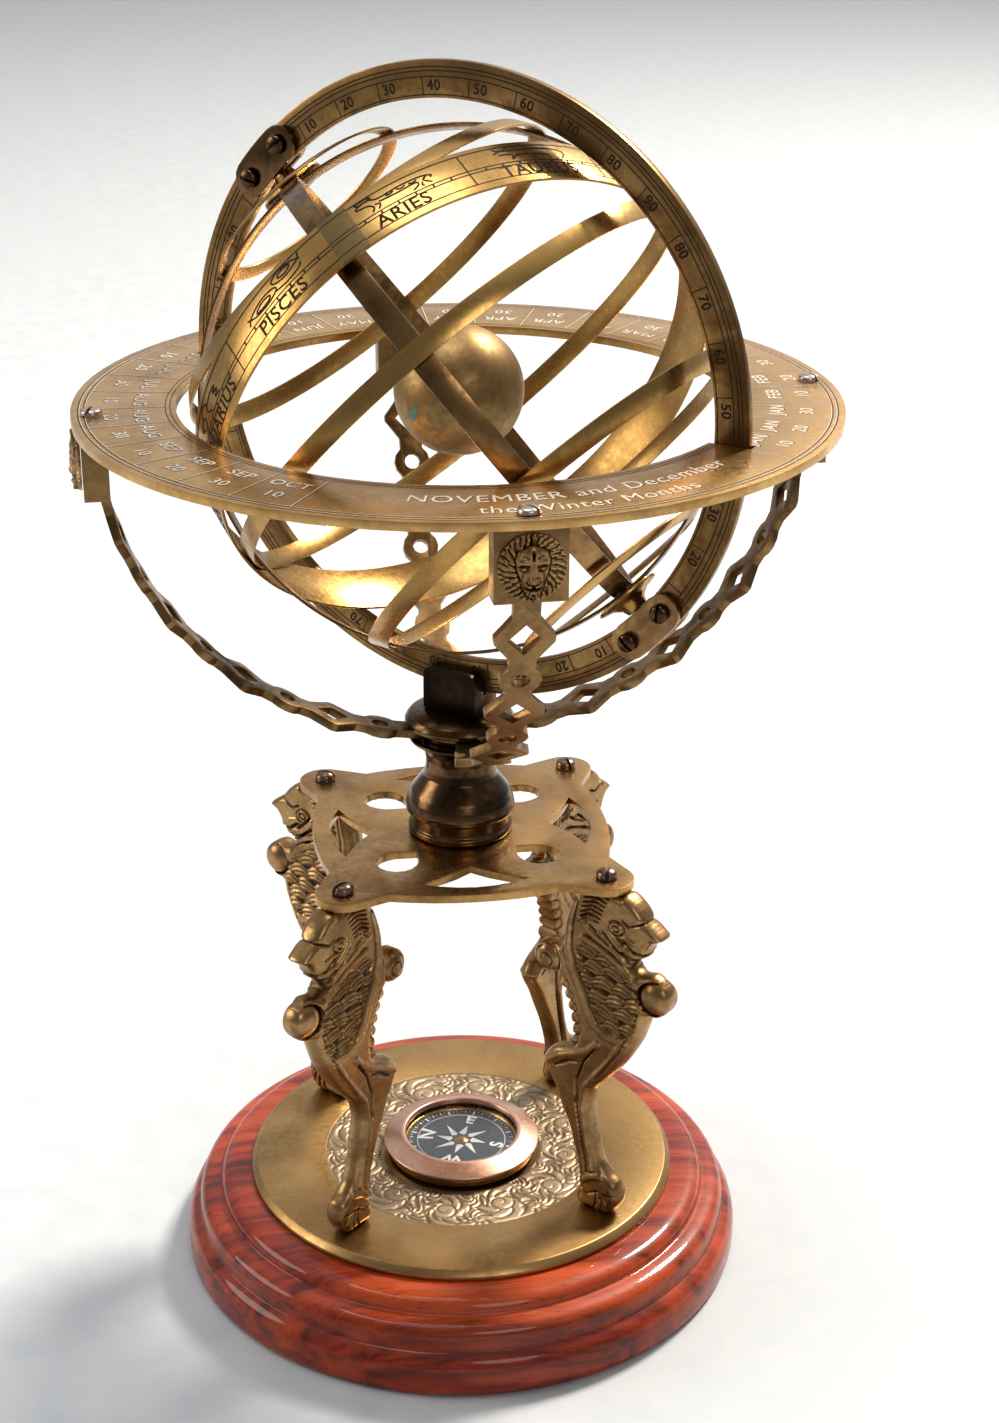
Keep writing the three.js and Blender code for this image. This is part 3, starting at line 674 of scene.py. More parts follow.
def leg_height(x, z, d):
    """Half the leg's thickness at a distance x from the object's axis and a height z."""
    body = unit((z - 96) / 14)
    foot = unit((56 - z) / 8)
    full = 3.7 + 1.2 * body + 0.8 * foot
    reach = 3.0 + 1.6 * body + 0.6 * foot
    t = unit(d / reach)
    h = full * (0.16 + 0.84 * dome((1 - t) ** 2))
    # dark is painted shade and grime in the grooves, the hollows round the beads, eye and ear, and the gaps
    # between the tufts
    dark = np.zeros(x.shape)

    def raise_line(points, width, height):
        nonlocal h
        h = h + ridge(distance(x, z, points)[0], width, height)

    def cut_line(points, width, depth, taper=True):
        nonlocal h, dark
        dist, along, _, _ = distance(x, z, points)
        width = width * (np.sin(np.pi * np.clip(along, 0.06, 0.94)) ** 0.4 if taper else 1)
        groove = unit(1 - (dist / width) ** 2)
        h = h - depth * groove
        dark = np.maximum(dark, 0.85 * groove)

    rib = [
        (55.2, 165), (53.2, 155), (52.6, 146), (54.6, 138.5), (58.4, 131), (61.5, 123), (65.2, 117.2),
        (71, 114), (78.5, 114.2),
    ]
    coat = [
        (60.5, 150), (66, 148.6), (74, 145.2), (81, 140.2), (85, 137.5), (84.5, 128), (83, 119),
        (78.5, 115.6), (71.5, 115.4), (66.6, 118.6), (63.2, 124.2), (60.2, 132), (56.6, 139.2), (55.6, 146),
    ]
    field = inside(x, z, np.array(coat))
    edge = unit(distance(x, z, coat, closed=True)[0] / 0.9)
    tuft = np.zeros(x.shape)
    for row in reversed(range(8)):
        for col in range(5):
            cx = 54.0 + 8.4 * col + 4.2 * (row % 2) + 0.9 * sin(2.3 * row + col)
            cz = 114.0 + 5.2 * row + 0.9 * sin(1.7 * col + row)
            turn = radians(-12 + 15 * sin(1.9 * row + 0.7 * col))
            p = (x - cx) * cos(turn) + (z - cz) * sin(turn)
            q = (z - cz) * cos(turn) - (x - cx) * sin(turn) + 0.06 * p * p
            wide = 3.3 * np.clip(1 - (p / 6.2) ** 2, 1e-6, 1) ** 0.6 * (1 - 0.06 * p)
            across = np.abs(q) / wide
            crest = dome(across**2)
            on = (across < 1) & (np.abs(p) < 6.2)
            tuft = np.where(on, crest * (0.74 + 0.26 * np.cos(3.3 * q)) * (0.78 + 0.04 * p), tuft)
    coat_relief = -1.05 + 1.6 * tuft
    h = np.where(field, h + edge * coat_relief, h)
    dark = np.where(field, np.maximum(dark, edge * unit(1.0 - 1.75 * tuft)), dark)
    raise_line(rib, 1.6, 1.25)
    cut_line([(p[0] + 2.1, p[1] + 0.5) for p in rib[:-2]], 0.75, 0.7)
    cut_line([(p[0] - 2.0, p[1] - 0.3) for p in rib[1:5]], 0.65, 0.6)

    beads = [(51.4, 129.4), (53.4, 125.2), (55.0, 120.8), (56.2, 116.2), (56.6, 111.6), (55.2, 107.2)]
    for bx, bz in beads:
        near = np.hypot(x - bx, z - bz)
        bead = dome((near / 2.35) ** 2)
        h = np.maximum(h, np.where(bead > 0, 2.2 + 2.2 * bead, 0))
        ring = unit(1 - np.abs(near - 2.5) / 0.5)
        h, dark = h - 0.6 * ring, np.maximum(dark, 0.7 * ring)

    brow = [(74.5, 178), (90, 174), (88, 165.2), (80.4, 162.2), (77.0, 163.2), (74.2, 168)]
    snout = [(78.2, 161.4), (85.8, 164.9), (96, 166), (97, 158), (88.4, 150), (82.4, 152.4)]
    for plate, level in ((snout, 4.75), (brow, 5.0)):
        d_plate = distance(x, z, plate, closed=True)[0]
        weight = np.where(inside(x, z, np.array(plate)), unit(d_plate / 2.6), 0)
        weight = weight * weight * (3 - 2 * weight)
        soft = unit(d / 2.6)
        crown = level * (0.36 + 0.64 * dome((1 - soft) ** 2))
        h = h + weight * (crown - h)
    cut_line([(76.6, 163.6), (79.6, 161.9), (86.6, 165.4)], 0.55, 0.85, taper=False)
    eye = np.hypot((x - 74.2) / 1.25, z - 159.9)
    h = h + ridge(eye - 1.75, 0.55, 1.0) + 0.95 * dome((eye / 1.1) ** 2)
    socket = unit(1 - np.abs(eye - 1.2) / 0.35) + unit(1 - np.abs(eye - 2.7) / 0.5)
    h, dark = h - 0.5 * socket, np.maximum(dark, 0.8 * unit(socket))
    cut_line([(89.2, 153.9), (85.4, 151.9), (81.4, 152.6), (78.0, 155.2), (75.6, 155.6)], 0.75, 1.3)
    raise_line([(86, 149.9), (82.6, 150.2), (79.4, 152.2), (76.6, 152.6)], 1.0, 0.7)
    raise_line([(81.8, 156.4), (78.4, 157.2), (76.4, 157.0)], 0.9, 0.6)
    cut_line([(84.4, 147.4), (80.4, 148.4), (77, 150.6), (72.6, 152.4)], 0.7, 0.9)
    for strand in (
        [(59.6, 151.6), (66, 149.9), (74, 146.6), (80.6, 142.2)],
        [(66.8, 155), (71.4, 151.8), (76.4, 147.9), (80.2, 144.4)],
        [(61, 156.2), (65.4, 153.4), (70.4, 150.6)],
        [(70, 158.2), (72.6, 155.2), (76.2, 152.2)],
    ):
        raise_line(strand, 1.35, 0.95)
        cut_line([(p[0] + 1.1, p[1] + 1.5) for p in strand], 0.62, 0.9)
    for k in range(7):
        lift = 2.5 * k
        low_end, bend = (57.6 + 0.5 * k, 157.5 + lift * 0.85), (61.5 + k * 0.9, 160.4 + lift * 0.72)
        cut_line([low_end, bend, (66.5 + k * 0.7, 159.6 + lift * 0.7)], 0.62, 0.75)
    ear_x, ear_z = x - 60.8, z - 158.6
    ear = np.hypot((ear_x * 0.78 + ear_z * 0.62) / 3.4, (-ear_x * 0.62 + ear_z * 0.78) / 1.5)
    h = h + ridge(ear - 0.85, 0.4, 0.9) - 0.4 * unit(1 - ear / 0.6)
    dark = np.maximum(dark, 0.7 * unit(1 - ear / 0.7))

    for (cx, cz), size, turn in (((90.2, 135.8), 6.6, 0.0), ((43.2, 137.3), 6.5, 2.0)):
        near = np.hypot(x - cx, z - cz)
        ball = dome((near / (size + 0.1)) ** 2)
        h = np.where(near < size, np.minimum(LEG_HALF, 0.9 + 4.8 * ball), h)
        seam = unit(1 - np.abs(near - size) / 0.75) * unit(d / 1.5)
        h, dark = h - 0.45 * seam, np.maximum(dark, 0.45 * seam)
        if turn:
            coil = []
            for k in range(21):
                angle, reach = turn + 0.38 * k, 5.0 - 0.18 * k
                coil.append((cx + reach * cos(angle), cz + reach * sin(angle)))
            cut_line(coil, 0.55, 0.55)
    raise_line([(44, 94.2), (50, 98.2), (57, 101.2), (63.5, 105.4), (67, 109.6)], 1.7, 0.9)
    shin = [(77, 112), (72.5, 104), (66.5, 96), (61.5, 89), (59.6, 80), (61.6, 66), (64.6, 54)]
    raise_line(shin, 1.5, 0.85)
    cut_line([(66, 107), (60.4, 99.4), (57.2, 90.5), (57.6, 80), (60.0, 66), (62.6, 52)], 0.85, 1.1)
    cut_line([(47.5, 93), (53.5, 97), (58, 98.2)], 0.9, 0.8)
    cut_line([(80.6, 118), (76.2, 109), (70.4, 100.4), (65.6, 93.6)], 0.6, 0.5)
    raise_line([(60.6, 47.5), (64.6, 50.6), (69, 52.2)], 1.6, 0.7)
    for shift in (0, 1, 2):
        toe = (67.2 + 2.2 * shift, 45.5 - 0.5 * shift)
        cut_line([(66.5 + 3.1 * shift, 37), (67.6 + 2.6 * shift, 41), toe], 0.55, 0.9)
    cut_line([(59.5, 44.8), (64, 43.2), (68, 45.6), (74.5, 45.6)], 0.6, 0.7)
    floor = 0.7 + 1.0 * unit(d / 1.5)
    return np.clip(h, floor, LEG_HALF), unit(dark)


leg_mesh = relief("animal_leg", smooth_line(LEG_OUTLINE, 4, True, 0.45), 0.36, leg_height, mirrored=True)
for side, azimuth in LEG_AZIMUTHS.items():
    piece("animal_leg_" + side, leg_mesh, CAST, "leg_" + side, place=spin(azimuth) @ spin(90, "X"))


# ---------------- the lion masks
def lion_height(x, y, d):
    """How far a lion's mask stands out at x across and y up from its centre."""
    r, a = np.hypot(x, y), np.arctan2(x, y)
    h = 0.3 + 1.5 * dome((r / 10.9) ** 2)
    # dark is painted shade and grime: rising towards the mane, deepest between its locks and in the grooves
    dark = np.clip((r - 4) / 3, 0, 0.3)
    for ring, count, long, lift in ((9.1, 34, 2.2, 0.75), (7.3, 28, 2.3, 1.15), (5.9, 20, 1.6, 1.4)):
        turn = a - 0.05 * (r - ring) + 0.04 * np.sin(3 * a)
        spoke = np.round(turn * count / TAU)
        off = np.abs(turn - spoke * TAU / count) * count / pi
        reach = (r - ring - 0.45 * np.sin(spoke * 2.4)) / long
        lock = unit(1 - off**2) * unit(1 - reach**2)
        on = np.abs(reach) < 1
        raised = 0.5 + lift * (0.4 + 0.6 * dome(reach**2))
        h = np.where(on, np.maximum(h, raised) - 0.75 * off**3, h)
        dark = np.where(on, unit(0.46 - 1.4 * lock), dark)
    levels, halves = (-9.6, -8.6, -6.6, -4.0, -1.0, 2.6, 5.4, 7.4), (0.2, 2.0, 3.3, 3.7, 4.9, 5.5, 4.6, 0.3)
    half = np.interp(y, levels, halves)
    face = np.abs(x) / half
    on = face < 1
    h = np.where(on, 2.0 + 1.0 * dome(face**2), h)
    dark = np.where(on, 0.0, dark)
    rim = unit(1 - np.abs(face - 1) * half / 0.45) * (np.abs(y) < 9)
    h, dark = h - 0.45 * rim, np.maximum(dark, 0.45 * rim)

    def bump(cx, cy, wx, wy, lift):
        nonlocal h
        for side in (-1, 1) if cx else (1,):
            q = ((x - side * cx) / wx) ** 2 + ((y - cy) / wy) ** 2
            h = h + lift * dome(q)

    def dent(points, width, depth):
        nonlocal h, dark
        for side in (-1, 1):
            dist = distance(x, y, [(side * px, py) for px, py in points])[0]
            groove = unit(1 - (dist / width) ** 2)
            h, dark = h - depth * groove, np.maximum(dark, 0.75 * groove)

    bump(2.3, 2.2, 2.1, 0.95, 0.55)
    bump(0, 4.4, 2.3, 2.2, 0.5)
    bump(0, -0.9, 1.25, 3.9, 0.75)
    bump(0, -3.7, 2.2, 1.4, 0.65)
    bump(1.5, -5.1, 1.7, 1.2, 0.35)
    bump(3.1, 0.1, 1.1, 0.6, 0.5)
    bump(0, -7.4, 1.6, 0.65, 0.6)
    dent([(1.6, 0.7), (2.8, 1.15), (4.5, 0.6)], 0.5, 0.7)
    dent([(1.7, -0.3), (3.0, -0.75), (4.3, -0.1)], 0.42, 0.5)
    dent([(0.0, -5.3), (0.1, -6.2), (1.2, -6.5), (2.6, -5.9)], 0.5, 0.8)
    dent([(0.6, -4.9), (1.6, -4.7), (2.1, -4.0)], 0.35, 0.5)
    dent([(3.2, -1.6), (3.4, -3.2), (3.0, -5.4)], 0.4, 0.4)
    dent([(0.05, 2.9), (0.25, 5.6)], 0.4, 0.5)
    dent([(1.4, 3.5), (2.9, 4.1)], 0.35, 0.4)
    for k in range(4):
        dent([(0.3 + 0.9 * k, -8.1 + 0.5 * k), (0.4 + 1.2 * k, -9.9 + 0.6 * k)], 0.3, 0.5)
    return np.clip(h, 0.3, 4.15), unit(dark)


MASK_RADIUS, MASK_SEAT, MASK_HEIGHT = 10.6, 129.5, 325.25
for side, azimuth in ARM_AZIMUTHS.items():
    out = Vector(polar(1, radians(azimuth), 0))
    seat = axes((-out.y, out.x, 0), (0, 0, 1), out, (out * MASK_SEAT + Vector((0, 0, MASK_HEIGHT))) * MM)
    mask = relief("lion_mask_relief_" + side, circle(MASK_RADIUS, 72), 0.2, lion_height)
    mask.transform(seat)
    piece("lion_mask_relief_" + side, mask, CAST, "lion_mask_" + side)

# ---------------- castings and plates that keep their CAD shape
for side in ARM_AZIMUTHS:
    piece("pierced_arm_" + side, refined("arm_" + side, 0.3), STRIP, "arm_" + side)
piece("pierced_plate", refined("top_plate", 0.35), ANTIQUE, "top_plate")
piece("horizon_circle", refined("horizon_ring", 0.3), RING, "horizon_ring")
piece("ring_cradle", refined("cradle", 0.3, corner=3.4), BLACKENED, "cradle")
# the north clamp plates take the dark brass: a darker copy of the south ones' cast brass, as painted shade
for pole, material in (("north", DARK), ("south", CAST)):
    for face in ("front", "back"):
        node = f"{pole}_clamp_{face}"
        piece(node + "_plate", refined(node, 0.35), material, node)

# ---------------- the neck and hub
neck = [
    (3.1, 176.3), (18.6, 176.3), (19.2, 177.2), (19.1, 178.8), (18.0, 179.5), (17.8, 183.5), (18.3, 184.2),
    (20.1, 184.8), (20.1, 186.6), (19.5, 189.4), (18.1, 192.6), (15.6, 195.8), (13.6, 198.4), (12.7, 201.6),
    (12.6, 205), (13.2, 208), (14.8, 210.4), (17.6, 212.4), (18.7, 213.2), (18.5, 214.0), (3.1, 214.0),
]
turned("turned_neck", "neck", rounded(neck, 0.6, 3), DARK, 128)
turned("hub_washer", "hub_ring", bar(3.1, 14, *heights("hub_ring"), 0.4), DARK, 96)
piece("hub_cover", refined("hub_cap", 0.4), DARK, "hub_cap")


# ---------------- screws
def screw_mesh(name, radius, height, slot_width=1.1):
    """A domed screw head with a slot."""

    def head(x, y, d):
        r = np.hypot(x, y) / radius
        bulge = height * (0.35 + 0.65 * dome(r**2))
        slot = unit((slot_width / 2 - np.abs(x)) / 0.12)
        # the slot is darkened too: painted shade and grime
        return np.maximum(bulge - slot * 0.55 * height, 0.2), slot

    return relief(name, circle(radius, 40), radius / 17, head)


def screws(kind, sides, radius, height, material, first, more):
    """A head on each CAD screw of that kind, the first turned by an angle and each next one by more."""
    head = screw_mesh(kind + "_head", radius, height)
    for k, side in enumerate(sides):
        low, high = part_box(f"{kind}_{side}")
        turn = Matrix.Rotation(first + more * k, 4, "Z")
        turn.translation = Vector(((low.x + high.x) / 2, (low.y + high.y) / 2, high.z - height * MM))
        piece(f"{kind}_head_{side}", head, material, f"{kind}_{side}", place=turn)


screws("ring_screw", ARM_AZIMUTHS, 3.7, 2.0, PALE_STEEL, 0.6, 1.1)
screws("plate_screw", LEG_AZIMUTHS, 3.8, 3.2, STEEL, 0.3, 0.9)

# ---------------- the meridian, its clamps and the cage
CLAMP_FACE = 4.5  # from the ring's middle to the underside of a clamp screw's head
CAGE = axes(MERIDIAN_NORMAL, UPWARD, POLE, CENTRE)
upright = axes(UPWARD, POLE * -1, MERIDIAN_NORMAL, CENTRE)
turned("meridian_circle", "meridian_ring", bar(98.2, 110.6, -1.5, 1.5, 0.35), AGED, 288, upright)

clamp_screw = screw_mesh("clamp_screw_head", 3.3, 1.85, 1.0)
for k, node in enumerate(sorted(n for n in frame["nodes"] if "_clamp_screw_" in n)):
    low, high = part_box(node)
    middle = (low + high) / 2 - 0.95 * MM * MERIDIAN_NORMAL
    across = Matrix.Rotation(0.5 + 0.9 * k, 3, MERIDIAN_NORMAL) @ UPWARD
    seat = (across, MERIDIAN_NORMAL.cross(across), MERIDIAN_NORMAL)
    turn = axes(*seat, middle + CLAMP_FACE * MM * MERIDIAN_NORMAL)
    piece(node + "_head", clamp_screw, DARK, node, place=turn)
    pin = [(0, -CLAMP_FACE), (1.2, -CLAMP_FACE), (1.4, 0.2 - CLAMP_FACE), (1.4, CLAMP_FACE), (0, CLAMP_FACE)]
    turned(node + "_pin", None, pin, DARK, 32, axes(*seat, middle / MM), body="meridian")


def colure_turn(azimuth):
    """Stands a ring on edge through the poles, its own axis in the equator's plane at that azimuth."""
    return spin(azimuth) @ spin(90, "X")


# the colures take the darker brass: painted shade
turned("first_colure", "colure_first", bar(88.6, 89.6, -4, 4), SHADE_DARKENED, 288, CAGE @ colure_turn(32))
turned("second_colure", "colure_second", bar(89.9, 90.9, -4, 4), SHADE_DARKENED, 288, CAGE @ colure_turn(122))


def zone(latitude, half):
    """A band's section between two latitudes, its skin following the sphere."""
    low, high = (radians(latitude + s * half) for s in (-1, 1))
    corners = [polar(r, a) for r, a in ((92.15, low), (92.15, high), (91.35, high), (91.35, low))]
    return rounded(corners, 0.2, 2)


for node, latitude, half in (
    ("equator_band", 0, 2.2), ("north_tropic_band", 34, 2.2), ("south_tropic_band", -34, 2.2),
    ("north_polar_band", 66.5, 1.6), ("south_polar_band", -66.5, 1.6),
):
    turned(node + "_strip", node, zone(latitude, half), BAND, 288, CAGE)
ZODIAC = CAGE @ (spin(-62) @ spin(29, "X"))
turned("zodiac_belt", "zodiac_band", bar(92.55, BELT_RADIUS, -BELT_HALF, BELT_HALF), BAND, 288, ZODIAC)
rod = rounded([(0, -106.6), (1.5, -106.6), (1.5, 106.6), (0, 106.6)], 0.4, 2)
turned("pole_axis", "axis_rod", rod, DARK, 24, CAGE)
for node in ("north_pole_boss", "south_pole_boss"):
    piece(node + "_cone", refined(node, 0.2), BAND, node)
ball = [polar(BALL_RADIUS, a) for a in np.radians(np.arange(-87, 88, 3))]
ball = [(0, -BALL_RADIUS), *ball, (0, BALL_RADIUS)]
turned("earth_ball", "globe", ball, BALL, 128, CAGE)


# ---------------- engraving: filled lines, figures and letters
@cache
def glyphs(text, size, bold=0.0):
    """The text's flat shape about its own middle: 2-D points and faces."""
    curve = bpy.data.curves.new("lettering", "FONT")
    curve.body, curve.size, curve.resolution_u = text, size, 3
    curve.offset = 0.0 if "M" in text else bold  # an M closes up into a blob when it is made bolder
    curve.align_x, curve.align_y, curve.space_character = "CENTER", "CENTER", 1.08
    holder = linked("lettering", curve)
    mesh = bpy.data.meshes.new_from_object(holder)
    b = bmesh.new()
    b.from_mesh(mesh)
    bmesh.ops.remove_doubles(b, verts=b.verts, dist=1e-4)
    b.verts.index_update()
    made = [(v.co.x, v.co.y) for v in b.verts], [[v.index for v in f.verts] for f in b.faces]
    b.free()
    bpy.data.objects.remove(holder)
    bpy.data.curves.remove(curve)
    bpy.data.meshes.remove(mesh)
    return made


class Engraving:
    """Thin closed fills let into a surface.

    place(u, v, w) is the point at angle u and distance v, a height w off the surface.
    """

    def __init__(self, place, low=-0.14, high=0.04):
        self.place, self.low, self.high, self.verts, self.faces = place, low, high, [], []

    def patch(self, points, faces, at):
        """A flat shape, where at(x, y) gives the angle and distance of each of its points."""
        base, n = len(self.verts), len(points)
        spots = [at(x, y) for x, y in points]
        for level in (self.high, self.low):
            self.verts += [self.place(u, v, level) for u, v in spots]
        edges = {}
        for f in faces:
            self.faces += [[base + i for i in f], [base + n + i for i in reversed(f)]]
            for a, b in zip(f, f[1:] + f[:1]):
                edges[(a, b)] = True
        for a, b in edges:
            if (b, a) not in edges:
                self.faces.append([base + b, base + a, base + n + a, base + n + b])

    def line(self, points, width, at, step=3.0):
        """A line of that width through the points."""
        path = []
        for (ax, ay), (bx, by) in zip(points, points[1:]):
            parts = max(1, round(hypot(bx - ax, by - ay) / step))
            path += [(ax + (bx - ax) * k / parts, ay + (by - ay) * k / parts) for k in range(parts)]
        path.append(points[-1])
        sides = []
        for i, (x, y) in enumerate(path):
            (ax, ay), (bx, by) = path[max(0, i - 1)], path[min(len(path) - 1, i + 1)]
            reach = hypot(bx - ax, by - ay) or 1
            sides.append((-(by - ay) / reach * width / 2, (bx - ax) / reach * width / 2))
        left = [(x + dx, y + dy) for (x, y), (dx, dy) in zip(path, sides)]
        right = [(x - dx, y - dy) for (x, y), (dx, dy) in zip(path, sides)]
        n = len(path)
        self.patch(left + right, [[i, n + i, n + i + 1, i + 1] for i in range(n - 1)], at)

    def text(self, words, size, at, bold=0.0, shift=(0, 0)):
        points, faces = glyphs(words, size, bold)
        self.patch([(x + shift[0], y + shift[1]) for x, y in points], faces, at)

    def made(self, name, material, body):
        piece(name, mesh_of(name, self.verts, self.faces, smooth=20), material, body=body)


def flat_place(x_axis, y_axis, normal, centre, level):
    """Polar places on a flat ring's face."""
    return lambda u, v, w: centre + (x_axis * cos(u) + y_axis * sin(u)) * v + normal * (level + w)


def drum_place(x_axis, y_axis, axis, centre, radius):
    """Places round the outside of a band."""
    return lambda u, v, w: centre + (x_axis * cos(u) + y_axis * sin(u)) * (radius + w) + axis * v


def ring_at(degrees, radius, tops_out=True):
    """Where a drawing in mm goes on a flat ring: its middle at that angle and radius, its top out or in."""
    start = radians(degrees)
    if tops_out:
        return lambda x, y: (start - x / radius, radius + y)
    return lambda x, y: (start + x / radius, radius - y)


def band_at(degrees, radius, level=0.0):
    """Where a drawing in mm goes on a band, or on a flat ring with y as the radius."""
    start = radians(degrees)
    return lambda x, y: (start + x / radius, level + y)


def arc_line(engraving, radius, start, end, width):
    """A line round a flat ring between two angles."""
    engraving.line([(0, 0), (radians(end - start) * radius, 0)], width, ring_at(start, radius, False))


# the horizon's face: double lines round its edges, a cell each 10 degrees, and the names of the months
LEVEL_AXES = (Vector((1, 0, 0)), Vector((0, 1, 0)), Vector((0, 0, 1)), Vector((0, 0, 0)))
NOTCHES = (-38.5, 141.5)
MONTHS = ("JAN", "FEB", "MAR", "APR", "MAY", "JUN", "JUL", "AUG", "SEP", "OCT")
CELL_IN, CELL_OUT, CELL_MIDDLE = 100.4, 127.2, 114
face_of_horizon = flat_place(*LEVEL_AXES, RING_TOP)
# dark lines: black fill, and a painted shadow beside the pale strokes; the pale strokes are a painted
# highlight
horizon_dark = Engraving(face_of_horizon)
horizon_highlight = Engraving(face_of_horizon, high=0.06)
# each edge line has a thin pale line inside it: a painted highlight
for radius in (129.4, 127.6):
    arc_line(horizon_dark, radius, 0, 360, 0.42)
    arc_line(horizon_highlight, radius - 0.42, 0, 360, 0.2)
for radius in (98.6, 100.2):
    for start in NOTCHES:
        arc_line(horizon_dark, radius, start + 1.6, start + 178.4, 0.3)


def notch_distance(angle):
    return min(abs(angle - notch) for notch in NOTCHES)


def lettering(words, size, degrees, radius, bold, shadow):
    """Words in pale strokes, a painted highlight, with a dark copy beside them as a painted shadow."""
    horizon_highlight.text(words, size, ring_at(degrees, radius, False), bold)
    horizon_dark.text(words, size, ring_at(degrees, radius, False), bold, shadow)


for k in range(29):
    angle = -40 + 10 * k
    inner = 112.6 if notch_distance(angle) < 2.5 else CELL_IN
    # each cell's divider: a pale line as a painted highlight, and a dark line beside it as a painted shadow
    horizon_highlight.line([(0, inner), (0, CELL_OUT)], 0.32, band_at(angle, CELL_MIDDLE))
    horizon_dark.line([(0.34, inner), (0.34, CELL_OUT)], 0.3, band_at(angle, CELL_MIDDLE))
    if k < 28:
        middle = angle + (6 if notch_distance(angle + 5) < 5 else 5)
        lettering(MONTHS[k // 3], 6.6, middle, 109.0, 0.08, (0.28, -0.3))
        lettering(str(10 * (k % 3 + 1)), 6.6, middle, 119.0, 0.08, (0.28, -0.3))
lettering("NOVEMBER and December", 9.0, -76.5, 110.6, 0.05, (0.26, -0.3))
lettering("the Winter Months", 8.6, -76.5, 120.9, 0.05, (0.26, -0.3))
horizon_dark.made("horizon_lines", FILL, "stand")
horizon_highlight.made("horizon_lettering", CUT_HIGHLIGHT, "stand")

# the meridian's two faces: lines round them, and a cell each 10 degrees, numbered from the poles
SCALE_IN, SCALE_OUT = 99.3, 105.1
for name, normal, across in (("front", MERIDIAN_NORMAL, -UPWARD), ("back", -MERIDIAN_NORMAL, UPWARD)):
    lines = Engraving(flat_place(POLE, across, normal, CENTRE, 1.5))
    for radius, width in ((108.3, 0.42), (107.0, 0.42), (SCALE_OUT, 0.42), (SCALE_IN, 0.38)):
        arc_line(lines, radius, 0, 360, width)
    for k in range(36):
        if k % 18 == 0:
            continue
        lines.line([(0, SCALE_IN), (0, SCALE_OUT)], 0.38, band_at(-10 * k, -102))
        count = 10 * min(k % 18, 18 - k % 18)
        lines.text(str(count), 4.9, ring_at(-10 * k - 2.45, 102.3), 0.13)
    lines.made("meridian_scale_" + name, FILL, "meridian")

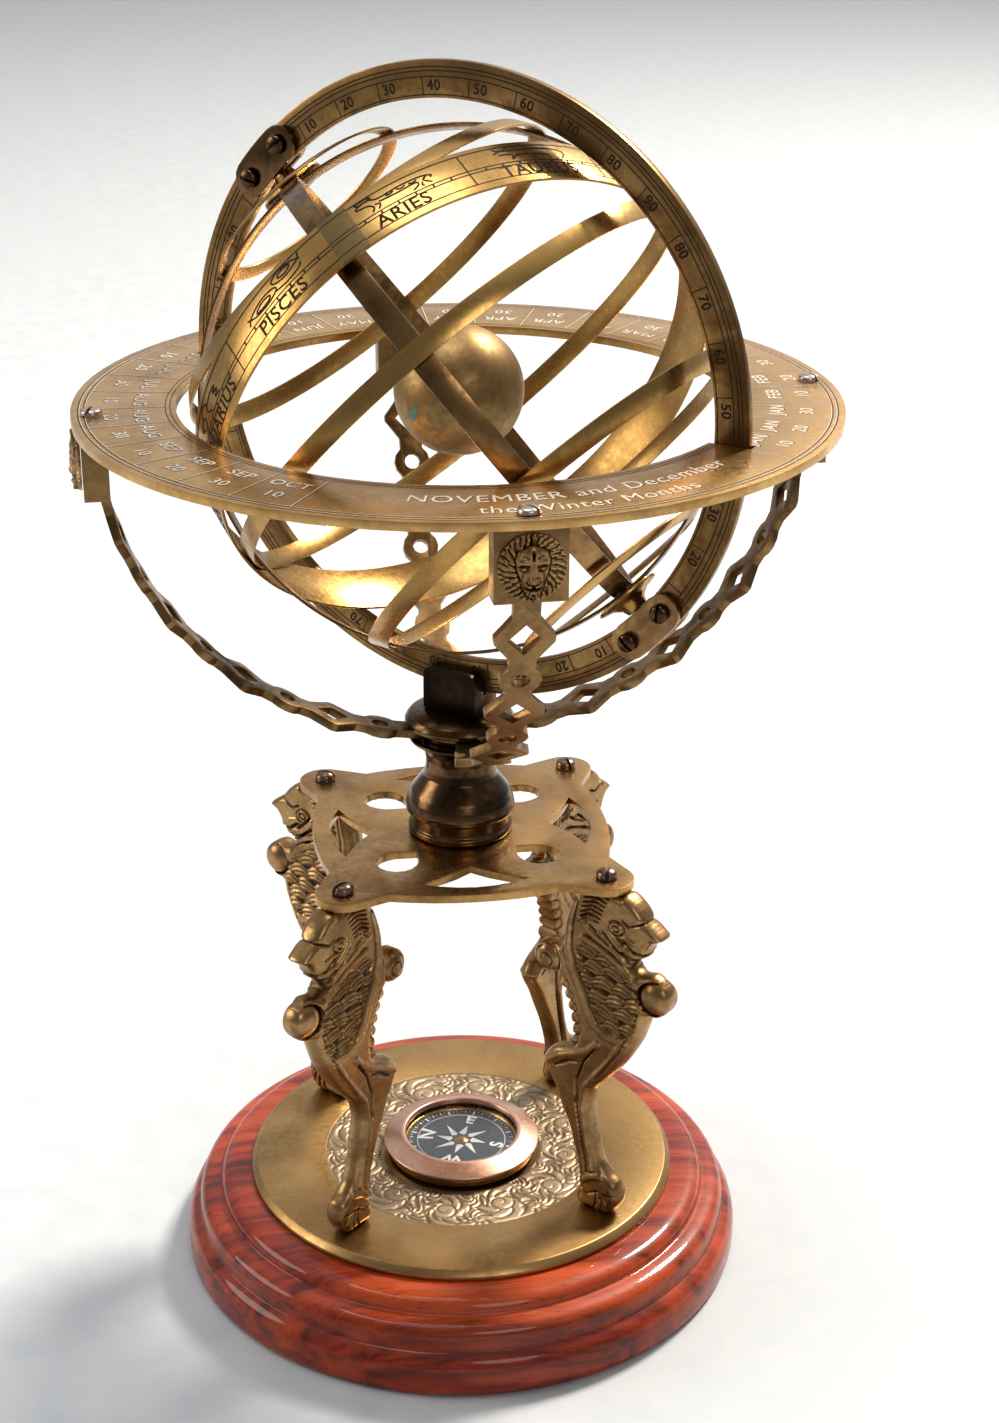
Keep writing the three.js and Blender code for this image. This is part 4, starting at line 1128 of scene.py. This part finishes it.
# the zodiac belt: edge lines, a ladder of degrees, the twelve names and a simple figure over each
FIGURES = {
    "ARIES": (
        [(9.6, 1), (8.8, 4), (9.2, 6.4), (6.5, 7), (3.4, 6.4), (2.2, 8.4), (0.9, 8), (0.5, 6.4), (1.8, 5.4),
         (2.4, 3), (2, 0.6)], [(3.2, 4.4), (5.6, 3.8), (7.8, 4.4), (8, 2.4), (7.2, 0.6)],
        [(1.2, 8), (0.6, 9.6), (2, 9.9), (2.6, 8.9), (1.9, 8.2)], [(2.6, 4.2), (3.2, 3), (2.8, 0.6)],
        [(8.6, 3.2), (8.4, 1.6), (8.6, 0.6)], [(9.2, 6.4), (9.9, 5.2), (9.7, 4.2)],
        [(4.2, 5.9), (4.6, 5.2), (5.2, 5.9)], [(5.6, 5.9), (6.1, 5.1), (6.7, 5.9)],
        [(7.1, 5.8), (7.6, 5.1), (8.1, 5.8)]),
    "TAURUS": ([(0.4, 6), (1.4, 7.6), (3, 7.2), (6, 8), (9, 7), (9.6, 4), (9, 0.6)],
        [(1, 5), (2.6, 4.4), (2.4, 1), (3.4, 4), (7, 3.6), (7.4, 0.6)],
        [(0.6, 9.6), (1, 8.2), (2, 8.4), (2.4, 9.8)]),
    "GEMINI": ([(2, 0.5), (3, 4), (2.4, 7), (3.2, 9.4), (4.2, 8), (3.8, 4), (4.6, 0.5)],
        [(6, 0.5), (6.6, 4), (5.8, 7), (6.8, 9.4), (7.8, 8), (7.4, 4), (8.6, 0.5)],
        [(3.4, 6), (5.2, 5.2), (7, 6)]),
    "CANCER": ([(3, 3), (3.4, 6.6), (6.6, 6.6), (7, 3), (5, 1.4), (3, 3)],
        [(3.4, 6), (1, 7), (1.6, 9.6), (2.6, 8)], [(6.6, 6), (9, 7), (8.4, 9.6), (7.4, 8)]),
    "LEO": ([(0.6, 5), (1.2, 8.4), (3, 8.8), (3.6, 6.4), (7, 6.6), (8.6, 5), (8.4, 0.8)],
        [(1.6, 4), (2.6, 3.6), (2.4, 0.8), (3.8, 3.4), (6.8, 3.4), (6.6, 0.8)],
        [(8.4, 6), (9.6, 7.6), (8.8, 9.4)]),
    "VIRGO": ([(3, 0.6), (4.4, 4), (3.8, 7), (5, 9.4), (6.2, 7), (5.8, 4), (7, 0.6)],
        [(4.2, 6), (2, 5.2), (1, 7.4)], [(5.8, 6), (8, 5.6), (9, 8)]),
    "LIBRA": ([(1, 7.6), (5, 8.6), (9, 7.6)], [(5, 9.6), (5, 1.2)],
        [(1, 7.4), (0.2, 3.4), (2, 2.6), (3.2, 3.4), (1, 7.4)],
        [(9, 7.4), (7.6, 3.4), (8.4, 2.6), (9.8, 3.4), (9, 7.4)]),
    "SCORPIO": ([(0.6, 8), (2, 6.4), (3.6, 6.8), (6, 5.4), (8, 3), (9.6, 4.4), (9, 6.8), (8, 6)],
        [(0.6, 4), (2, 5.6), (4, 5), (4.6, 2)], [(5, 6.8), (6, 8.8)], [(6.6, 5.8), (8, 8.4)]),
    "SAGITTARIUS": (
        [(1.4, 1), (2, 4.6), (1.6, 7), (3, 9.2), (4, 7.4), (4, 5.4), (8, 5.6), (9, 3.6), (8.8, 0.8)],
        [(3.6, 4.4), (3.4, 1)], [(7.4, 4.2), (7, 1)], [(0.4, 8), (5.6, 7.4)]),
    "CAPRICORN": (
        [(0.6, 6), (1.6, 8), (3.4, 7), (6, 6.6), (8, 3.4), (6.6, 1.6), (5.6, 3.2), (7.4, 5), (9.6, 3)],
        [(1.8, 5.2), (3, 4.8), (2.6, 1.4)], [(1.4, 8), (1, 9.8), (2.6, 9.2)]),
    "AQUARIUS": ([(2.6, 0.6), (3.6, 4), (3, 7), (4, 9.2), (5.2, 7.4), (4.8, 4), (5.8, 0.6)],
        [(4.8, 6), (7, 6.6), (8.4, 5.6), (7.4, 4.4), (8.6, 3), (7.6, 1.6), (8.8, 0.6)],
        [(3.2, 6.4), (1.4, 5), (2.2, 3)]),
    "PISCES": ([(0.2, 1.2), (1, 4.2), (3.2, 6), (5.2, 5), (5.4, 2.6), (3.6, 0.9), (1.6, 1.8), (0.2, 4.6)],
        [(1.8, 2.4), (2.2, 3.8), (3.4, 4.6), (4.4, 3.8), (4.2, 2.4), (3.4, 1.9), (1.8, 2.4)],
        [(9.9, 9.8), (9.4, 6.6), (7.4, 4.6), (5.8, 5.6), (5.4, 8.2), (6.8, 9.8), (8.6, 8.8), (9.8, 6.2)],
        [(8.4, 8.2), (8, 6.6), (7.2, 6), (6.4, 6.8), (6.6, 8.2), (7.4, 8.7), (8.4, 8.2)],
        [(5.4, 2.2), (7.2, 1.2), (9.2, 2.4), (9.6, 4.4)]),
}
SIGNS_START = 94.0
BELT_LINES = (-6.9, -1.5, 0.0, 8.0)
belt_axes = [ZODIAC.to_3x3().col[k].copy() for k in range(3)]
lines = Engraving(drum_place(*belt_axes, CENTRE, BELT_RADIUS), high=0.07)
for level in BELT_LINES:
    lines.line([(0, 0), (TAU * BELT_RADIUS, 0)], 0.42, band_at(0, BELT_RADIUS, level), 1.6)
for k, (sign, strokes) in enumerate(FIGURES.items()):
    start = SIGNS_START + 30 * k
    lines.line([(0, BELT_LINES[0]), (0, BELT_LINES[-1])], 0.48, band_at(start, BELT_RADIUS))
    for rung in range(1, 8):
        lines.line([(0, BELT_LINES[1]), (0, BELT_LINES[2])], 0.62, band_at(start + 3.75 * rung, BELT_RADIUS))
    lines.text(sign, 7.2 if len(sign) < 9 else 6.0, band_at(start + 15, BELT_RADIUS, -4.25), 0.1)
    for stroke in strokes:
        drawn = [((x - 5) * 2.8, 0.5 + y * 0.72) for x, y in stroke]
        lines.line(smooth_line(drawn, 5), 0.62, band_at(start + 15, BELT_RADIUS), 1.2)
lines.made("zodiac_scale", FILL, "cage")

# the belt's lap joint: a stained patch, and the belt's lines across it
LAP_START, LAP_TOP = SIGNS_START - 0.6, BELT_RADIUS + 0.4
lap_length = radians(6.4) * LAP_TOP
lap = Engraving(drum_place(*belt_axes, CENTRE, BELT_RADIUS), low=-0.05, high=0.4)
lap.line([(0, 0), (lap_length, 0)], 2 * BELT_HALF - 0.2, band_at(LAP_START, LAP_TOP), lap_length / 8)
lap.made("belt_lap_joint", STAINED, "cage")
lap_lines = Engraving(drum_place(*belt_axes, CENTRE, LAP_TOP), high=0.05)
for level in BELT_LINES:
    lap_lines.line([(0.2, 0), (lap_length - 0.2, 0)], 0.34, band_at(LAP_START, LAP_TOP, level), 1.6)
lap_lines.made("belt_lap_lines", FILL, "cage")

# a spot of verdigris on the ball
spot = Vector((-0.767, -0.621, -0.159)).normalized()
spot_x = Vector((0.35, -0.30, 0.80))
spot_x = (spot_x - spot_x.dot(spot) * spot).normalized()
spot_y = spot.cross(spot_x)
rim = []
for k in range(28):
    a = TAU * k / 28
    reach = 1 + 0.25 * sin(3 * a + 1) + 0.14 * sin(7 * a)
    rim.append((0.17 * reach * cos(a), 0.075 * reach * sin(a)))


def ball_place(u, v, w):
    return CENTRE + (spot + spot_x * u + spot_y * v).normalized() * (BALL_RADIUS + w)


crust = Engraving(ball_place, low=-0.1, high=0.06)
crust.patch([(0, 0), *rim], [[0, 1 + k, 1 + (k + 1) % 28] for k in range(28)], lambda x, y: (x, y))
crust.made("ball_verdigris", VERDIGRIS, "globe")

# the compass card's print, and the brass lip inside its case
NORTH = 158.0
print_lines = Engraving(flat_place(*LEVEL_AXES, dial_top), low=-0.1, high=0.04)
for k in range(72):
    inner, wide = (18.2, 0.75) if k % 6 == 0 else (19.1, 0.42) if k % 2 == 0 else (19.6, 0.25)
    print_lines.line([(0, inner), (0, 20.4)], wide, band_at(NORTH + 5 * k, -19))
for k, letter in enumerate("NESW"):
    print_lines.text(letter, 8.8 if letter == "N" else 7.2, ring_at(NORTH - 90 * k, 13.9), 0.2)
star_foot = 3.4
for k in range(8):
    tip, half = (9.9, 2.3) if k % 2 == 0 else (11.6, 1.9)
    start = radians(45 * k + NORTH)
    foot = (0, star_foot)
    for points in [(-half, star_foot + 1.2), foot], [foot, (half * 0.35, star_foot + 1.1)]:
        print_lines.patch([(0, tip), *points], [[0, 1, 2]], lambda x, y: (start - x / y, y))
print_lines.line([(0, 0), (TAU * 17.2, 0)], 0.22, ring_at(0, 17.2, False), 1.5)
print_lines.made("compass_print", PRINT, "compass_dial")
lip = [(24.3, 39.15), (24.3, 39.95), (21.5, 39.95), (20.7, 39.15)]
turned("compass_lip", None, rounded(lip, 0.15, 2), BAND, 128, body="stand")

# ---------------- what keeps its CAD shape and only gets a finish
for node, obj in frame["nodes"].items():
    if obj.hide_render:
        continue
    obj.data.materials.clear()
    obj.data.materials.append(STEEL if "screw" in node or "bolt" in node or "pivot" in node else ANTIQUE)

# ---------------- floor, lights and camera
floor = linked("floor", bpy.data.meshes.new("floor"))
floor.data.from_pydata([(-40, -40, 0), (40, -40, 0), (40, 40, 0), (-40, 40, 0)], [], [(0, 1, 2, 3)])
floor.data.materials.append(plain("pale_floor", (0.46, 0.485, 0.51), (0.50, 0.52, 0.535), 0.6, scale=60))
floor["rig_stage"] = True


def lamp(name, place, aim, size, power, colour=(1, 1, 1)):
    data = bpy.data.lights.new(name, "AREA")
    data.shape, data.size, data.energy, data.color = "DISK", size, power, colour
    obj = linked(name, data)
    obj.location = place
    obj.rotation_euler = (Vector(aim) - Vector(place)).to_track_quat("-Z", "Y").to_euler()


lamp("key", (1.75, 1.60, 2.65), (0, 0, 0.2), 0.75, 200, (1.0, 0.93, 0.82))
lamp("overhead", (-0.3, 0.2, 2.2), (0, 0, 0.2), 1.1, 14, (0.93, 0.96, 1.0))
lamp("front", (0.4, -2.0, 1.55), (0, 0, 0.3), 1.0, 9, (1.0, 0.95, 0.88))
lamp("left", (-1.9, 0.25, 0.95), (0, 0, 0.3), 1.1, 16, (1.0, 0.95, 0.88))
world = bpy.data.worlds.new("studio")
bpy.context.scene.world = world
world.use_nodes = True
tree = world.node_tree
toward = tree.nodes.new("ShaderNodeVectorMath")
toward.operation = "DOT_PRODUCT"
toward.inputs[1].default_value = (0.22, 0.62, 0.75)
ramp = tree.nodes.new("ShaderNodeValToRGB")
tree.links.new(tree.nodes.new("ShaderNodeTexCoord").outputs["Generated"], toward.inputs[0])
tree.links.new(toward.outputs["Value"], ramp.inputs[0])
tree.links.new(ramp.outputs[0], tree.nodes["Background"].inputs["Color"])
dark_end, light_end = ramp.color_ramp.elements
dark_end.color, dark_end.position = (0.19, 0.195, 0.205, 1), 0.30
light_end.color, light_end.position = (0.76, 0.77, 0.80, 1), 0.85
bpy.context.scene.view_settings.view_transform = "Standard"

# the photo's own view
camera = linked("camera", bpy.data.cameras.new("camera"))
camera.data.lens, camera.data.sensor_width = 61.28, 36.0
view = spin(-7.62) @ spin(66.45, "X") @ Matrix.Rotation(0.004, 4, "Z")
view.translation = Vector((-0.0927, -0.8012, 0.5740))
camera.matrix_world = view
camera.data.clip_start, camera.data.clip_end = 0.05, 60
bpy.context.scene.camera = camera

bpy.context.view_layer.update()
low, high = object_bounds()
